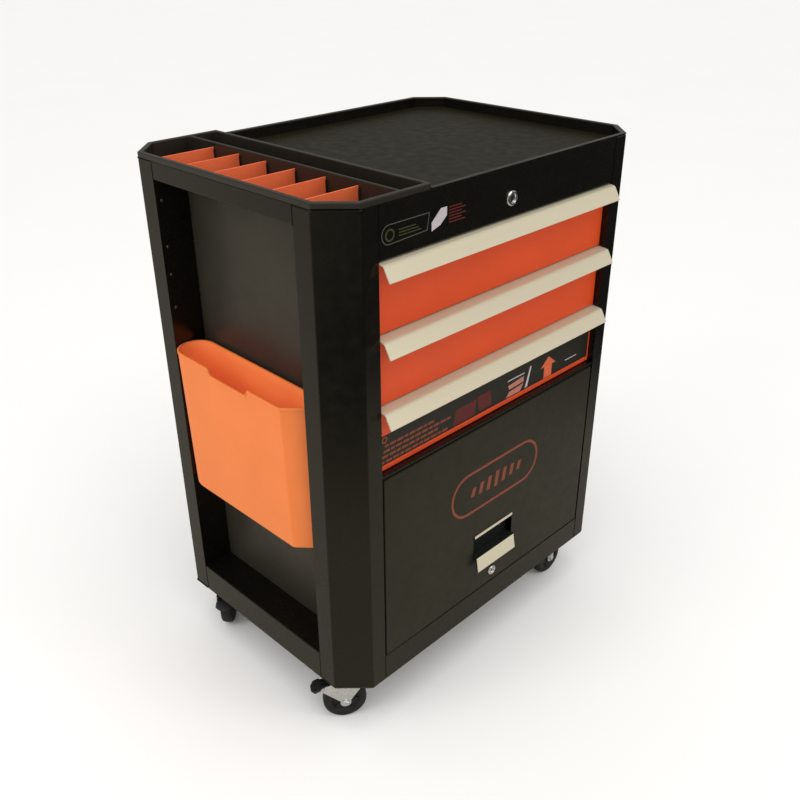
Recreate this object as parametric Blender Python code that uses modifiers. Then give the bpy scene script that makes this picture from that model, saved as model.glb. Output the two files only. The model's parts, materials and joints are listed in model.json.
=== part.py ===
"""Rolling tool chest: a sheet steel cabinet on four casters, with three drawers,
a lift-and-slide door, a side niche with a bin, a divided side tray and a top pan.

Frame: X to the right, Y to the back, Z up; the origin is on the floor, under the
middle of the object. All lengths are in metres.
"""

import math

import bmesh
import bpy
from mathutils import Matrix, Vector

# ------------------------------------------------------------------ driving dimensions
WIDTH = 0.680                 # over the side panels
FRONT = -0.230                # plane of the front frame
REAR = 0.250                  # outside of the back
BODY_BOTTOM = 0.102           # underside of the cabinet, on its casters
BODY_HEIGHT = 0.800           # cabinet without the tray rim
CORNER = 0.045                # 45 degree corner cut, seen from above
SHEET = 0.0015                # cabinet steel
GAP = 0.0003                  # between neighbouring pieces

HALF = WIDTH / 2
PANEL_TOP = BODY_BOTTOM + BODY_HEIGHT - 0.0025
BASE_INSET = 0.0008
BASE_THICKNESS = 0.002
PANEL_FOOT = BODY_BOTTOM + BASE_THICKNESS + GAP

OPENING_HALF = 0.267          # half width of the front opening
STILE_RETURN = 0.014          # depth of the folded edge beside the opening
SILL_TOP = BODY_BOTTOM + 0.050
FLOOR_TOP = BODY_BOTTOM + 0.030
FASCIA_FOOT = BODY_BOTTOM + 0.7225
INNER_WALL = 0.283            # outer face of the inner panels, from the middle

NICHE_FRONT = FRONT + 0.078
NICHE_REAR = REAR - 0.080
NICHE_FLOOR = BODY_BOTTOM + 0.055
NICHE_CEILING = BODY_BOTTOM + 0.7705

TRAY_WIDTH = 0.172
TRAY_RIGHT = -HALF + TRAY_WIDTH
TRAY_RIM_TOP = BODY_BOTTOM + 0.806
RIM_WIDTH = 0.0085
TUB_INSET = 0.006
TUB_FOOT = NICHE_CEILING + SHEET + 2 * GAP
TRAY_FLOOR = TUB_FOOT + 0.0015
PARTITION_LEFT = -HALF + 0.115
PARTITION_RIGHT = -HALF + 0.120
DIVIDER_COUNT = 6
FIRST_DIVIDER = FRONT + 0.080
DIVIDER_PITCH = 0.0652
DIVIDER_TOP = BODY_BOTTOM + 0.799

PAN_DEPTH = 0.018
PAN_LIP = 0.009

DRAWERS = 3
DRAWER_PITCH = 0.1085
DRAWER_TOP = FASCIA_FOOT - 0.0007
DRAWER_SETBACK = 0.011        # orange front behind the frame
DRAWER_FRONT_DEPTH = 0.0105
DRAWER_FRONT_HEIGHT = 0.1075
DRAWER_HALF = 0.2662
BOX_HALF = 0.255
BOX_REAR = FRONT + 0.445
BOX_SHEET = 0.0012
BOX_DROP = 0.024              # box edge below the drawer's top
HANDLE_OUT = 0.020
HANDLE_DROP = 0.0235
HANDLE_BEND = 0.0075           # bend in the pull, in front of the frame
HANDLE_SHEET = 0.002
SLIDE_HEIGHT = 0.030          # slide centre above the box floor
RACK_WALL = 0.2685
RACK_FRONT = FRONT + 0.023
RACK_REAR = REAR - 0.012

DOOR_HALF = 0.2636            # leaves a dark line down each side
DOOR_FOOT = SILL_TOP + 0.001
DOOR_TOP = BODY_BOTTOM + 0.389
DOOR_DEPTH = 0.018
DOOR_SHEET = 0.0012
RAIL_TOP = BODY_BOTTOM + 0.3965
RAIL_FOOT = BODY_BOTTOM + 0.3925
DOOR_PIVOT = Vector((0, FRONT + 0.0115, DOOR_TOP - 0.022))
PIN_RADIUS = 0.003
ROLLER_RADIUS = 0.008
TRACK_REAR = FRONT + 0.365
PULL_HALF = 0.052
PULL_TOP = BODY_BOTTOM + 0.1685
PULL_FOOT = BODY_BOTTOM + 0.131
DOOR_LOCK = Vector((0, FRONT, BODY_BOTTOM + 0.075))

DRAWER_LOCK = Vector((0, FRONT, BODY_BOTTOM + 0.752))
LOCK_TRAVEL = 0.008           # also the crank arm of the plug
LOCK_BAR_HALF = 0.018
LOCK_BAR_SHEET = 0.002
HOOK_HEIGHT = 0.026           # top of a hook over the drawer's rear wall
HOOK_CLEAR = 0.0015           # free height under the hook's lip

BIN_FRONT = FRONT + 0.092
BIN_REAR = FRONT + 0.398
BIN_OUT = -HALF - 0.0115      # the bin stands a little out of the niche
BIN_IN = -HALF + 0.050
BIN_FOOT = BODY_BOTTOM + 0.2455
BIN_TOP = BODY_BOTTOM + 0.503
BIN_FALL = 0.005              # how much lower the rim is at the front
BIN_DRAFT = 0.007
BIN_CUT = 0.030               # 45 degree cut of its front corner
BIN_WALL = 0.0025
SCOOP_FRONT = FRONT + 0.195   # the low stretch of the outer rim
SCOOP_REAR = FRONT + 0.298
SCOOP_RAMP = 0.008
SCOOP_DEPTH = 0.011

WHEEL_RADIUS = 0.0375
WHEEL_WIDTH = 0.022
AXLE_RADIUS = 0.004
TRAIL = 0.024
CASTER_INSET = 0.056
FORK_GAP = 0.0128             # wheel centre plane to the inside of a leg
FORK_SHEET = 0.002
CROWN_TOP = 0.0905
PLATE_FOOT = 0.0993
PLATE_TOP = BODY_BOTTOM - GAP
SWIVEL_X = -HALF + 0.061
RIGID_X = 0.254
FRONT_HEADING = 147           # degrees, the way each swivel caster trails
REAR_HEADING = 225
BOSS_RADIUS = 0.0095          # round foot of a fork leg
CROWN_HALF = 0.019
RACE_RADIUS = 0.0170
CHEEK_END = 0.0625            # rear corner of the fork's cheeks, from the swivel axis
SWIVEL_PLATE = (0.031, 0.031, 0.0235, 0.0235)   # half sizes, then the bolts' offsets
RIGID_PLATE = (0.034, 0.030, 0.0270, 0.0230)
CROWN_SHEET = 0.0025
PIN_OF_BRAKE = 0.0022
PAD_SHEET = 0.004
BOLT_RADIUS = 0.0052
BOLT_HEIGHT = 0.004
PEDAL_HINGE = (0.010, 0.0815)
PEDAL_SLOPE = 8               # degrees
PEDAL_HEEL = 0.0035
PEDAL_LENGTH = 0.0560
PEDAL_HALF = 0.0105
PEDAL_SHEET = 0.003
PAD_DROOP = 16                # degrees more than the pedal's own slope
PAD_LENGTH = 0.0190
PAD_HALF = 0.0140

OBJECT_NAME = "rolling_tool_chest"
BLACK = ("black_powder_coat", (0.022, 0.021, 0.019), 0.38, 0.0)
CHARCOAL = ("charcoal_powder_coat", (0.040, 0.037, 0.028), 0.42, 0.0)
ORANGE = ("orange_powder_coat", (0.80, 0.115, 0.030), 0.42, 0.0)
BIN_ORANGE = ("orange_polypropylene", (0.84, 0.20, 0.050), 0.45, 0.0)
TRAY_BLACK = ("black_abs", (0.028, 0.027, 0.024), 0.35, 0.0)
CHAMPAGNE = ("champagne_aluminium", (0.60, 0.57, 0.46), 0.34, 0.9)
ZINC = ("zinc_plate", (0.60, 0.60, 0.60), 0.30, 1.0)
CHROME = ("chrome", (0.75, 0.75, 0.75), 0.12, 1.0)
RUBBER = ("black_rubber", (0.020, 0.020, 0.020), 0.70, 0.0)
NYLON = ("black_nylon", (0.018, 0.018, 0.018), 0.50, 0.0)


# ------------------------------------------------------------------ scene helpers
def clear_scene():
    for item in list(bpy.data.objects):
        bpy.data.objects.remove(item, do_unlink=True)


def make_collection(name):
    collection = bpy.data.collections.new(name)
    bpy.context.scene.collection.children.link(collection)
    return collection


clear_scene()
PARTS = make_collection(OBJECT_NAME)
TOOLS = make_collection(OBJECT_NAME + "_cutters")


def get_material(spec):
    name, colour, roughness, metallic = spec
    found = bpy.data.materials.get(name)
    if found:
        return found
    made = bpy.data.materials.new(name)
    made.use_nodes = True
    shader = made.node_tree.nodes["Principled BSDF"]
    shader.inputs["Base Color"].default_value = (*colour, 1.0)
    shader.inputs["Roughness"].default_value = roughness
    shader.inputs["Metallic"].default_value = metallic
    made.diffuse_color = (*colour, 1.0)
    return made


def finish_mesh(name, bm, spec=None):
    """Turn a bmesh into an object: a part with its material, or a hidden cutter."""
    mesh = bpy.data.meshes.new(name)
    bm.to_mesh(mesh)
    bm.free()
    made = bpy.data.objects.new(name, mesh)
    if spec is None:
        TOOLS.objects.link(made)
        made.hide_render = True
        made.display_type = "WIRE"
    else:
        PARTS.objects.link(made)
        mesh.materials.append(get_material(spec))
    return made


def joint_frame(name, place):
    """An empty on a joint's axis, which carries the pieces that move."""
    made = bpy.data.objects.new(name, None)
    made.location = place
    PARTS.objects.link(made)
    return made


def carry(frame, *pieces):
    for piece in pieces:
        piece.parent = frame
        piece.matrix_parent_inverse = Matrix.Translation(-frame.location)


def plane_matrix(plane):
    """Axes of a drawing plane: u to the right, v up, w out of the drawing."""
    u, v = {"xy": ((1, 0, 0), (0, 1, 0)),
            "yz": ((0, 1, 0), (0, 0, 1)),
            "xz": ((1, 0, 0), (0, 0, 1))}[plane]
    w = Vector(u).cross(Vector(v))
    return Matrix((u, v, w)).transposed().to_4x4()


def span_matrix(plane, low, high):
    """The drawing plane moved to the low end of a span, as seen along w."""
    matrix = plane_matrix(plane)
    w = matrix.col[2].to_3d()
    start = low if sum(w) > 0 else high
    return Matrix.Translation(w * (start * sum(w))) @ matrix


def box(name, low, high, spec=None):
    bm = bmesh.new()
    bmesh.ops.create_cube(bm, size=1.0)
    size = Vector(high) - Vector(low)
    middle = (Vector(high) + Vector(low)) / 2
    bmesh.ops.scale(bm, vec=size, verts=bm.verts)
    bmesh.ops.translate(bm, vec=middle, verts=bm.verts)
    return finish_mesh(name, bm, spec)


def cylinder(name, start, end, radius, spec=None, segments=24):
    bm = bmesh.new()
    axis = Vector(end) - Vector(start)
    turn = axis.to_track_quat("Z", "Y").to_matrix().to_4x4()
    place = Matrix.Translation((Vector(start) + Vector(end)) / 2) @ turn
    bmesh.ops.create_cone(bm, cap_ends=True, segments=segments, radius1=radius,
                          radius2=radius, depth=axis.length, matrix=place)
    return finish_mesh(name, bm, spec)


def prism(name, outline, plane, low, high, spec=None, matrix=None):
    """A flat outline drawn out from low to high."""
    bm = bmesh.new()
    face = bm.faces.new([bm.verts.new((u, v, 0)) for u, v in outline])
    drawn = bmesh.ops.extrude_face_region(bm, geom=[face], use_keep_orig=True)["geom"]
    moved = [item for item in drawn if isinstance(item, bmesh.types.BMVert)]
    bmesh.ops.translate(bm, vec=(0, 0, high - low), verts=moved)
    to_plane = (matrix or Matrix()) @ span_matrix(plane, low, high)
    bmesh.ops.transform(bm, matrix=to_plane, verts=bm.verts)
    bmesh.ops.recalc_face_normals(bm, faces=bm.faces)
    return finish_mesh(name, bm, spec)


def sheet(name, path, plane, low, high, thickness, spec, matrix=None):
    """Folded sheet: an open path drawn out from low to high, its metal left of the path."""
    bm = bmesh.new()
    corners = [bm.verts.new((u, v, 0)) for u, v in path]
    edges = [bm.edges.new(pair) for pair in zip(corners, corners[1:])]
    drawn = bmesh.ops.extrude_edge_only(bm, edges=edges)["geom"]
    moved = [item for item in drawn if isinstance(item, bmesh.types.BMVert)]
    bmesh.ops.translate(bm, vec=(0, 0, high - low), verts=moved)
    bm.normal_update()
    along = corners[1].co - corners[0].co
    right = Vector((along.y, -along.x, 0))
    face = corners[0].link_faces[0]
    if face.normal.dot(right) < 0:
        bmesh.ops.reverse_faces(bm, faces=bm.faces)
    to_plane = (matrix or Matrix()) @ span_matrix(plane, low, high)
    bmesh.ops.transform(bm, matrix=to_plane, verts=bm.verts)
    made = finish_mesh(name, bm, spec)
    thicken(made, thickness)
    return made


def thicken(piece, thickness):
    """Give an open surface its thickness, on the side away from its normals."""
    solid = piece.modifiers.new("thickness", "SOLIDIFY")
    solid.thickness = thickness
    solid.offset = -1.0
    solid.use_even_offset = True


def cut(piece, cutter, operation="DIFFERENCE"):
    boolean = piece.modifiers.new(operation.lower(), "BOOLEAN")
    boolean.operation = operation
    boolean.object = cutter
    return piece


def unite(piece, *others):
    for other in others:
        cut(piece, other, "UNION")
    return piece


def open_box(name, low, high, thickness, open_side, spec):
    """Five walls of a box, their thickness inward; open_side is the missing one."""
    bm = bmesh.new()
    bmesh.ops.create_cube(bm, size=1.0)
    bmesh.ops.scale(bm, vec=Vector(high) - Vector(low), verts=bm.verts)
    bmesh.ops.translate(bm, vec=(Vector(high) + Vector(low)) / 2, verts=bm.verts)
    bm.normal_update()
    gone = [face for face in bm.faces if face.normal.dot(Vector(open_side)) > 0.9]
    bmesh.ops.delete(bm, geom=gone, context="FACES_ONLY")
    made = finish_mesh(name, bm, spec)
    thicken(made, thickness)
    return made


def turned(name, profile, place, axis, spec=None, segments=24):
    """A closed (radius, height) profile turned about an axis through place."""
    bm = bmesh.new()
    corners = [bm.verts.new((radius, 0, height)) for radius, height in profile]
    for pair in zip(corners, corners[1:] + corners[:1]):
        bm.edges.new(pair)
    made = finish_mesh(name, bm, spec)
    screw = made.modifiers.new("turn", "SCREW")
    screw.steps = segments
    screw.render_steps = segments
    screw.merge_threshold = 0.00001
    screw.use_merge_vertices = True
    made.rotation_mode = "QUATERNION"
    made.rotation_quaternion = Vector(axis).to_track_quat("Z", "Y")
    made.location = place
    return made


def body_outline(inset, right=HALF, left=-HALF, cut_right=True, cut_left=True):
    """The cabinet's plan, with its corner cuts, moved inward by inset."""
    corner = CORNER - inset * (2 - math.sqrt(2))
    x0, x1 = left + inset, right - inset
    y0, y1 = FRONT + inset, REAR - inset
    points = []
    points += [(x0, y0 + corner), (x0 + corner, y0)] if cut_left else [(x0, y0)]
    points += [(x1 - corner, y0), (x1, y0 + corner)] if cut_right else [(x1, y0)]
    points += [(x1, y1 - corner), (x1 - corner, y1)] if cut_right else [(x1, y1)]
    points += [(x0 + corner, y1), (x0, y1 - corner)] if cut_left else [(x0, y1)]
    return points


def arc(centre, radius, first, last, steps):
    """Points on a circle from the first to the last angle, in degrees."""
    angles = [math.radians(first + (last - first) * k / steps) for k in range(steps + 1)]
    return [(centre[0] + radius * math.cos(a), centre[1] + radius * math.sin(a)) for a in angles]


def drawer_top(index):
    return DRAWER_TOP - index * DRAWER_PITCH


def box_floor(index):
    return drawer_top(index) - DRAWER_FRONT_HEIGHT + 0.003


# ------------------------------------------------------------------ cabinet frame
def make_frame():
    roof = prism("roof_clearance", body_outline(SHEET + GAP), "xy",
                 NICHE_CEILING + SHEET, PANEL_TOP + 0.02)
    pin_slots = [box(side + "_pin_slot",
                     (min(a, b), DOOR_PIVOT.y - 0.0055, DOOR_PIVOT.z - 0.006),
                     (max(a, b), DOOR_PIVOT.y + 0.010, DOOR_PIVOT.z + 0.006))
                 for side, a, b in (("left", -0.264, -0.273), ("right", 0.264, 0.273))]

    edge = OPENING_HALF
    front_post = [(-INNER_WALL - GAP, NICHE_FRONT), (-HALF, NICHE_FRONT),
                  (-HALF, FRONT + CORNER), (-HALF + CORNER, FRONT),
                  (-edge, FRONT), (-edge, FRONT + STILE_RETURN)]
    post = sheet("front_left_post", front_post, "xy", PANEL_FOOT, PANEL_TOP, SHEET, BLACK)
    cut(cut(post, roof), pin_slots[0])

    rear_post = [(-0.240, REAR), (-HALF + CORNER, REAR), (-HALF, REAR - CORNER),
                 (-HALF, NICHE_REAR), (-INNER_WALL - GAP, NICHE_REAR)]
    post = sheet("rear_left_post", rear_post, "xy", PANEL_FOOT, PANEL_TOP, SHEET, BLACK)
    cut(post, roof)

    side = [(edge, FRONT + STILE_RETURN), (edge, FRONT), (HALF - CORNER, FRONT),
            (HALF, FRONT + CORNER), (HALF, REAR - CORNER), (HALF - CORNER, REAR),
            (0.240, REAR)]
    panel = sheet("right_side_panel", side, "xy", PANEL_FOOT, PANEL_TOP, SHEET, BLACK)
    cut(cut(panel, roof), pin_slots[1])

    top = NICHE_CEILING + SHEET - GAP
    for name, sign in (("left_inner_panel", 1), ("right_inner_panel", -1)):
        wall = -sign * INNER_WALL
        path = [(wall, top), (wall, FLOOR_TOP - 0.0035), (wall + sign * 0.028, FLOOR_TOP - 0.0035)]
        if sign < 0:
            path.reverse()
        sheet(name, path, "xz", FRONT + 0.016, REAR - 0.0036, SHEET, CHARCOAL)

    box("back_panel", (-INNER_WALL + SHEET + GAP, REAR - 2 * SHEET - GAP, PANEL_FOOT),
        (INNER_WALL - SHEET - GAP, REAR - SHEET - GAP, PANEL_TOP), BLACK)
    prism("base_plate", body_outline(BASE_INSET), "xy", BODY_BOTTOM,
          BODY_BOTTOM + BASE_THICKNESS, BLACK)

    inside = edge - GAP
    floor = [(REAR - 0.0045, FLOOR_TOP), (FRONT + STILE_RETURN, FLOOR_TOP),
             (FRONT + STILE_RETURN, SILL_TOP), (FRONT, SILL_TOP), (FRONT, PANEL_FOOT)]
    sheet("compartment_floor", floor, "yz", -inside, inside, SHEET, BLACK)

    fascia = [(FRONT, PANEL_TOP), (FRONT, FASCIA_FOOT), (FRONT + 0.022, FASCIA_FOOT)]
    piece = sheet("front_fascia", fascia, "yz", -inside, inside, SHEET, BLACK)
    cut(piece, cylinder("lock_hole", DRAWER_LOCK + Vector((0, -0.01, 0)),
                        DRAWER_LOCK + Vector((0, 0.01, 0)), 0.0098))

    rail = [(FRONT + 0.040, RAIL_TOP), (FRONT + 0.0005, RAIL_TOP),
            (FRONT + 0.0005, RAIL_FOOT)]
    sheet("middle_rail", rail, "yz", -inside, inside, SHEET, BLACK)


def make_niche_rails():
    low, high = NICHE_FRONT + GAP, NICHE_REAR - GAP
    inner = -INNER_WALL - GAP
    upper = [(-HALF, PANEL_TOP), (-HALF, NICHE_CEILING), (inner, NICHE_CEILING)]
    sheet("niche_top_rail", upper, "xz", low, high, SHEET, BLACK)
    lower = [(inner, NICHE_FLOOR), (-HALF, NICHE_FLOOR), (-HALF, PANEL_FOOT)]
    sheet("niche_bottom_rail", lower, "xz", low, high, SHEET, BLACK)


def loop_of_edges(bm, outline, height):
    corners = [bm.verts.new((x, y, height)) for x, y in outline]
    return [bm.edges.new(pair) for pair in zip(corners, corners[1:] + corners[:1])]


def make_top_pan():
    """A lipped pan: three loops of its plan, for the lip's edge, the lip and the floor."""
    bm = bmesh.new()
    top = PANEL_TOP + GAP + SHEET
    loops = []
    for inset, height in ((0, top), (PAN_LIP, top), (PAN_LIP, top - PAN_DEPTH)):
        outline = body_outline(inset, left=TRAY_RIGHT + GAP, cut_left=False)
        loops.append(loop_of_edges(bm, outline, height))
    for upper, lower in zip(loops, loops[1:]):
        bmesh.ops.bridge_loops(bm, edges=upper + lower)
    bmesh.ops.edgeloop_fill(bm, edges=loops[-1])
    bmesh.ops.recalc_face_normals(bm, faces=bm.faces)
    floor = min(bm.faces, key=lambda face: face.calc_center_median().z)
    if floor.normal.z < 0:
        bmesh.ops.reverse_faces(bm, faces=bm.faces)
    pan = finish_mesh("top_pan", bm, BLACK)
    thicken(pan, SHEET)
    pan.modifiers["thickness"].solidify_mode = "NON_MANIFOLD"
    pan.modifiers["thickness"].nonmanifold_thickness_mode = "CONSTRAINTS"


# ------------------------------------------------------------------ side tray and bin
def make_side_tray():
    rim = body_outline(0, right=TRAY_RIGHT, cut_right=False)
    tray = prism("side_tray", rim, "xy", PANEL_TOP + GAP, TRAY_RIM_TOP, TRAY_BLACK)
    tub = body_outline(TUB_INSET, right=TRAY_RIGHT, cut_right=False)
    unite(tray, prism("tray_tub", tub, "xy", TUB_FOOT, PANEL_TOP + 0.002))
    pocket = body_outline(RIM_WIDTH, right=PARTITION_LEFT + RIM_WIDTH, cut_right=False)
    cut(tray, prism("divided_pocket", pocket, "xy", TRAY_FLOOR, TRAY_RIM_TOP + 0.01))
    cut(tray, box("narrow_pocket", (PARTITION_RIGHT, FRONT + RIM_WIDTH, TRAY_FLOOR),
                  (TRAY_RIGHT - 0.007, REAR - RIM_WIDTH, TRAY_RIM_TOP + 0.01)))
    for number in range(DIVIDER_COUNT):
        middle = FIRST_DIVIDER + number * DIVIDER_PITCH
        box(f"tray_divider_{number + 1}",
            (-HALF + 0.009, middle - 0.001, TRAY_FLOOR + GAP),
            (PARTITION_LEFT - 0.0005, middle + 0.001, DIVIDER_TOP), ORANGE)


def make_side_bin():
    """A tapered plastic pocket with a cut front corner and a half-round rear end."""
    radius = (BIN_IN - BIN_OUT) / 2
    centre = (BIN_OUT + radius, BIN_REAR - radius)
    outline = [(BIN_OUT, BIN_FRONT + BIN_CUT), (BIN_OUT + BIN_CUT, BIN_FRONT), (BIN_IN, BIN_FRONT)]
    outline += arc(centre, radius, 0, 180, 12)
    bm = bmesh.new()
    corners = []
    for x, y in outline:
        draft = BIN_DRAFT * (BIN_IN - x) / (BIN_IN - BIN_OUT)
        corners.append(bm.verts.new((x + draft, y, BIN_FOOT)))
    floor = bm.faces.new(corners)
    drawn = bmesh.ops.extrude_face_region(bm, geom=[floor], use_keep_orig=True)["geom"]
    moved = [item for item in drawn if isinstance(item, bmesh.types.BMVert)]
    bmesh.ops.translate(bm, vec=(0, 0, BIN_TOP - BIN_FOOT), verts=moved)
    for corner in moved:
        k = (BIN_IN - corner.co.x) / (BIN_IN - BIN_OUT - BIN_DRAFT)
        corner.co.x -= BIN_DRAFT * k
        corner.co.z -= BIN_FALL * (BIN_REAR - corner.co.y) / (BIN_REAR - BIN_FRONT)
    lid = [face for face in bm.faces if all(corner in moved for corner in face.verts)]
    bmesh.ops.delete(bm, geom=lid, context="FACES_ONLY")
    bmesh.ops.recalc_face_normals(bm, faces=bm.faces)
    outer = [face for face in bm.faces if face.calc_center_median().x < BIN_OUT + 0.005]
    if outer and outer[0].normal.x > 0:
        bmesh.ops.reverse_faces(bm, faces=bm.faces)
    made = finish_mesh("side_bin", bm, BIN_ORANGE)
    thicken(made, BIN_WALL)
    rim = BIN_TOP - BIN_FALL / 2
    scoop = [(SCOOP_FRONT, rim + 0.010), (SCOOP_FRONT + SCOOP_RAMP, rim - SCOOP_DEPTH),
             (SCOOP_REAR - SCOOP_RAMP, rim - SCOOP_DEPTH), (SCOOP_REAR, rim + 0.010)]
    cut(made, prism("bin_scoop", scoop, "yz", BIN_OUT - 0.005, BIN_OUT + 0.012))
    hook = BIN_TOP - 0.014
    unite(made, box("bin_hook", (BIN_IN - 0.001, BIN_FRONT + 0.030, hook),
                    (-INNER_WALL - GAP, BIN_REAR - 0.038, hook + 0.003)))


# ------------------------------------------------------------------ drawers
def rack_outline(sign):
    """A wall with folded feet and, for each drawer, the two lips of a rail."""
    sheet_t, reach, half_rail = 0.0015, 0.2572, 0.017
    low = box_floor(DRAWERS - 1) + 0.004
    high = box_floor(0) + 0.060
    foot = INNER_WALL - SHEET - GAP
    points = [(foot, low), (foot, low + sheet_t), (RACK_WALL + sheet_t, low + sheet_t),
              (RACK_WALL + sheet_t, high - sheet_t), (foot, high - sheet_t), (foot, high),
              (RACK_WALL, high)]
    for index in range(DRAWERS):
        middle = box_floor(index) + SLIDE_HEIGHT
        for edge in (middle + half_rail, middle - half_rail + sheet_t):
            points += [(RACK_WALL, edge), (reach, edge),
                       (reach, edge - sheet_t), (RACK_WALL, edge - sheet_t)]
    points.append((RACK_WALL, low))
    return [(sign * x, z) for x, z in points]


def make_racks():
    for name, sign in (("left_slide_rack", -1), ("right_slide_rack", 1)):
        prism(name, rack_outline(sign), "xz", RACK_FRONT, RACK_REAR, ZINC)


def make_drawer(index):
    name = f"drawer_{index + 1}"
    top = drawer_top(index)
    floor = box_floor(index)
    frame = joint_frame(name + "_slide", (0, FRONT, top))
    face = FRONT + DRAWER_SETBACK
    rear_of_front = face + DRAWER_FRONT_DEPTH

    front = open_box(name + "_front", (-DRAWER_HALF, face, top - DRAWER_FRONT_HEIGHT),
                     (DRAWER_HALF, rear_of_front, top - 0.0030), BOX_SHEET, (0, 1, 0), ORANGE)
    tub = open_box(name + "_box", (-BOX_HALF, rear_of_front + GAP, floor),
                   (BOX_HALF, BOX_REAR, top - BOX_DROP), BOX_SHEET, (0, 0, 1), BLACK)
    profile = [(rear_of_front, top), (face, top), (FRONT - HANDLE_BEND, top - 0.0020),
               (FRONT - HANDLE_OUT, top - HANDLE_DROP)]
    handle = sheet(name + "_handle", profile, "yz", -DRAWER_HALF, DRAWER_HALF,
                   HANDLE_SHEET, CHAMPAGNE)
    slides = []
    middle = floor + SLIDE_HEIGHT
    for side, sign in (("left", -1), ("right", 1)):
        wall, reach, half = BOX_HALF + GAP, 0.2670, 0.0125
        path = [(sign * reach, middle + half), (sign * wall, middle + half),
                (sign * wall, middle - half), (sign * reach, middle - half)]
        if sign < 0:
            path.reverse()
        slides.append(sheet(f"{name}_{side}_slide", path, "xz", rear_of_front + 0.002,
                            BOX_REAR - 0.004, BOX_SHEET, ZINC))
    carry(frame, front, tub, handle, *slides)


# ------------------------------------------------------------------ drawer lock
def make_drawer_lock():
    outer, bore, flange = 0.0095, 0.0068, 0.0115
    ring = [(outer, 0.0180), (bore, 0.0180), (bore, -0.0035), (flange, -0.0035),
            (flange, -GAP), (outer, -GAP)]
    turned("drawer_lock_barrel", ring[::-1], DRAWER_LOCK, (0, 1, 0), CHROME)

    frame = joint_frame("drawer_lock_turn", DRAWER_LOCK)
    plug = cylinder("drawer_lock_plug", DRAWER_LOCK + Vector((0, -0.0042, 0)),
                    DRAWER_LOCK + Vector((0, 0.0235, 0)), 0.0065, CHROME)
    cam = box("drawer_lock_cam", DRAWER_LOCK + Vector((-0.005, 0.0205, -0.005)),
              DRAWER_LOCK + Vector((LOCK_TRAVEL + 0.004, 0.0228, 0.005)))
    pin = cylinder("drawer_lock_pin", DRAWER_LOCK + Vector((LOCK_TRAVEL, 0.0215, 0)),
                   DRAWER_LOCK + Vector((LOCK_TRAVEL, 0.0310, 0)), 0.002, segments=12)
    keyway = box("drawer_keyway", DRAWER_LOCK + Vector((-0.0012, -0.006, -0.004)),
                 DRAWER_LOCK + Vector((0.0012, -0.0015, 0.004)))
    cut(unite(plug, cam, pin), keyway)
    carry(frame, plug)

    bar_frame = joint_frame("lock_bar_travel", (0, BOX_REAR + 0.004, DRAWER_LOCK.z))
    t = LOCK_BAR_SHEET
    tab = FRONT + 0.026
    arm = DRAWER_LOCK.z - 0.018
    bar = BOX_REAR + 0.003
    points = [(tab, DRAWER_LOCK.z + 0.010), (tab, arm), (bar, arm)]
    for index in range(DRAWERS):
        edge = drawer_top(index) - BOX_DROP
        hook = edge + HOOK_HEIGHT
        lip = BOX_REAR - 0.0075
        points += [(bar, hook), (lip, hook), (lip, edge + HOOK_CLEAR),
                   (lip + t, edge + HOOK_CLEAR), (lip + t, hook - t), (bar, hook - t)]
    points += [(bar, points[-1][1] - 0.006), (bar + t, points[-1][1] - 0.006),
               (bar + t, arm + t), (tab + t, arm + t), (tab + t, DRAWER_LOCK.z + 0.010)]
    lock_bar = prism("lock_bar", points, "yz", -LOCK_BAR_HALF, LOCK_BAR_HALF, ZINC)
    cut(lock_bar, box("lock_bar_slot", (-0.004, tab - 0.005, DRAWER_LOCK.z - 0.0044),
                      (LOCK_TRAVEL + 0.003, tab + 0.010, DRAWER_LOCK.z + 0.0044)))
    carry(bar_frame, lock_bar)


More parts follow.
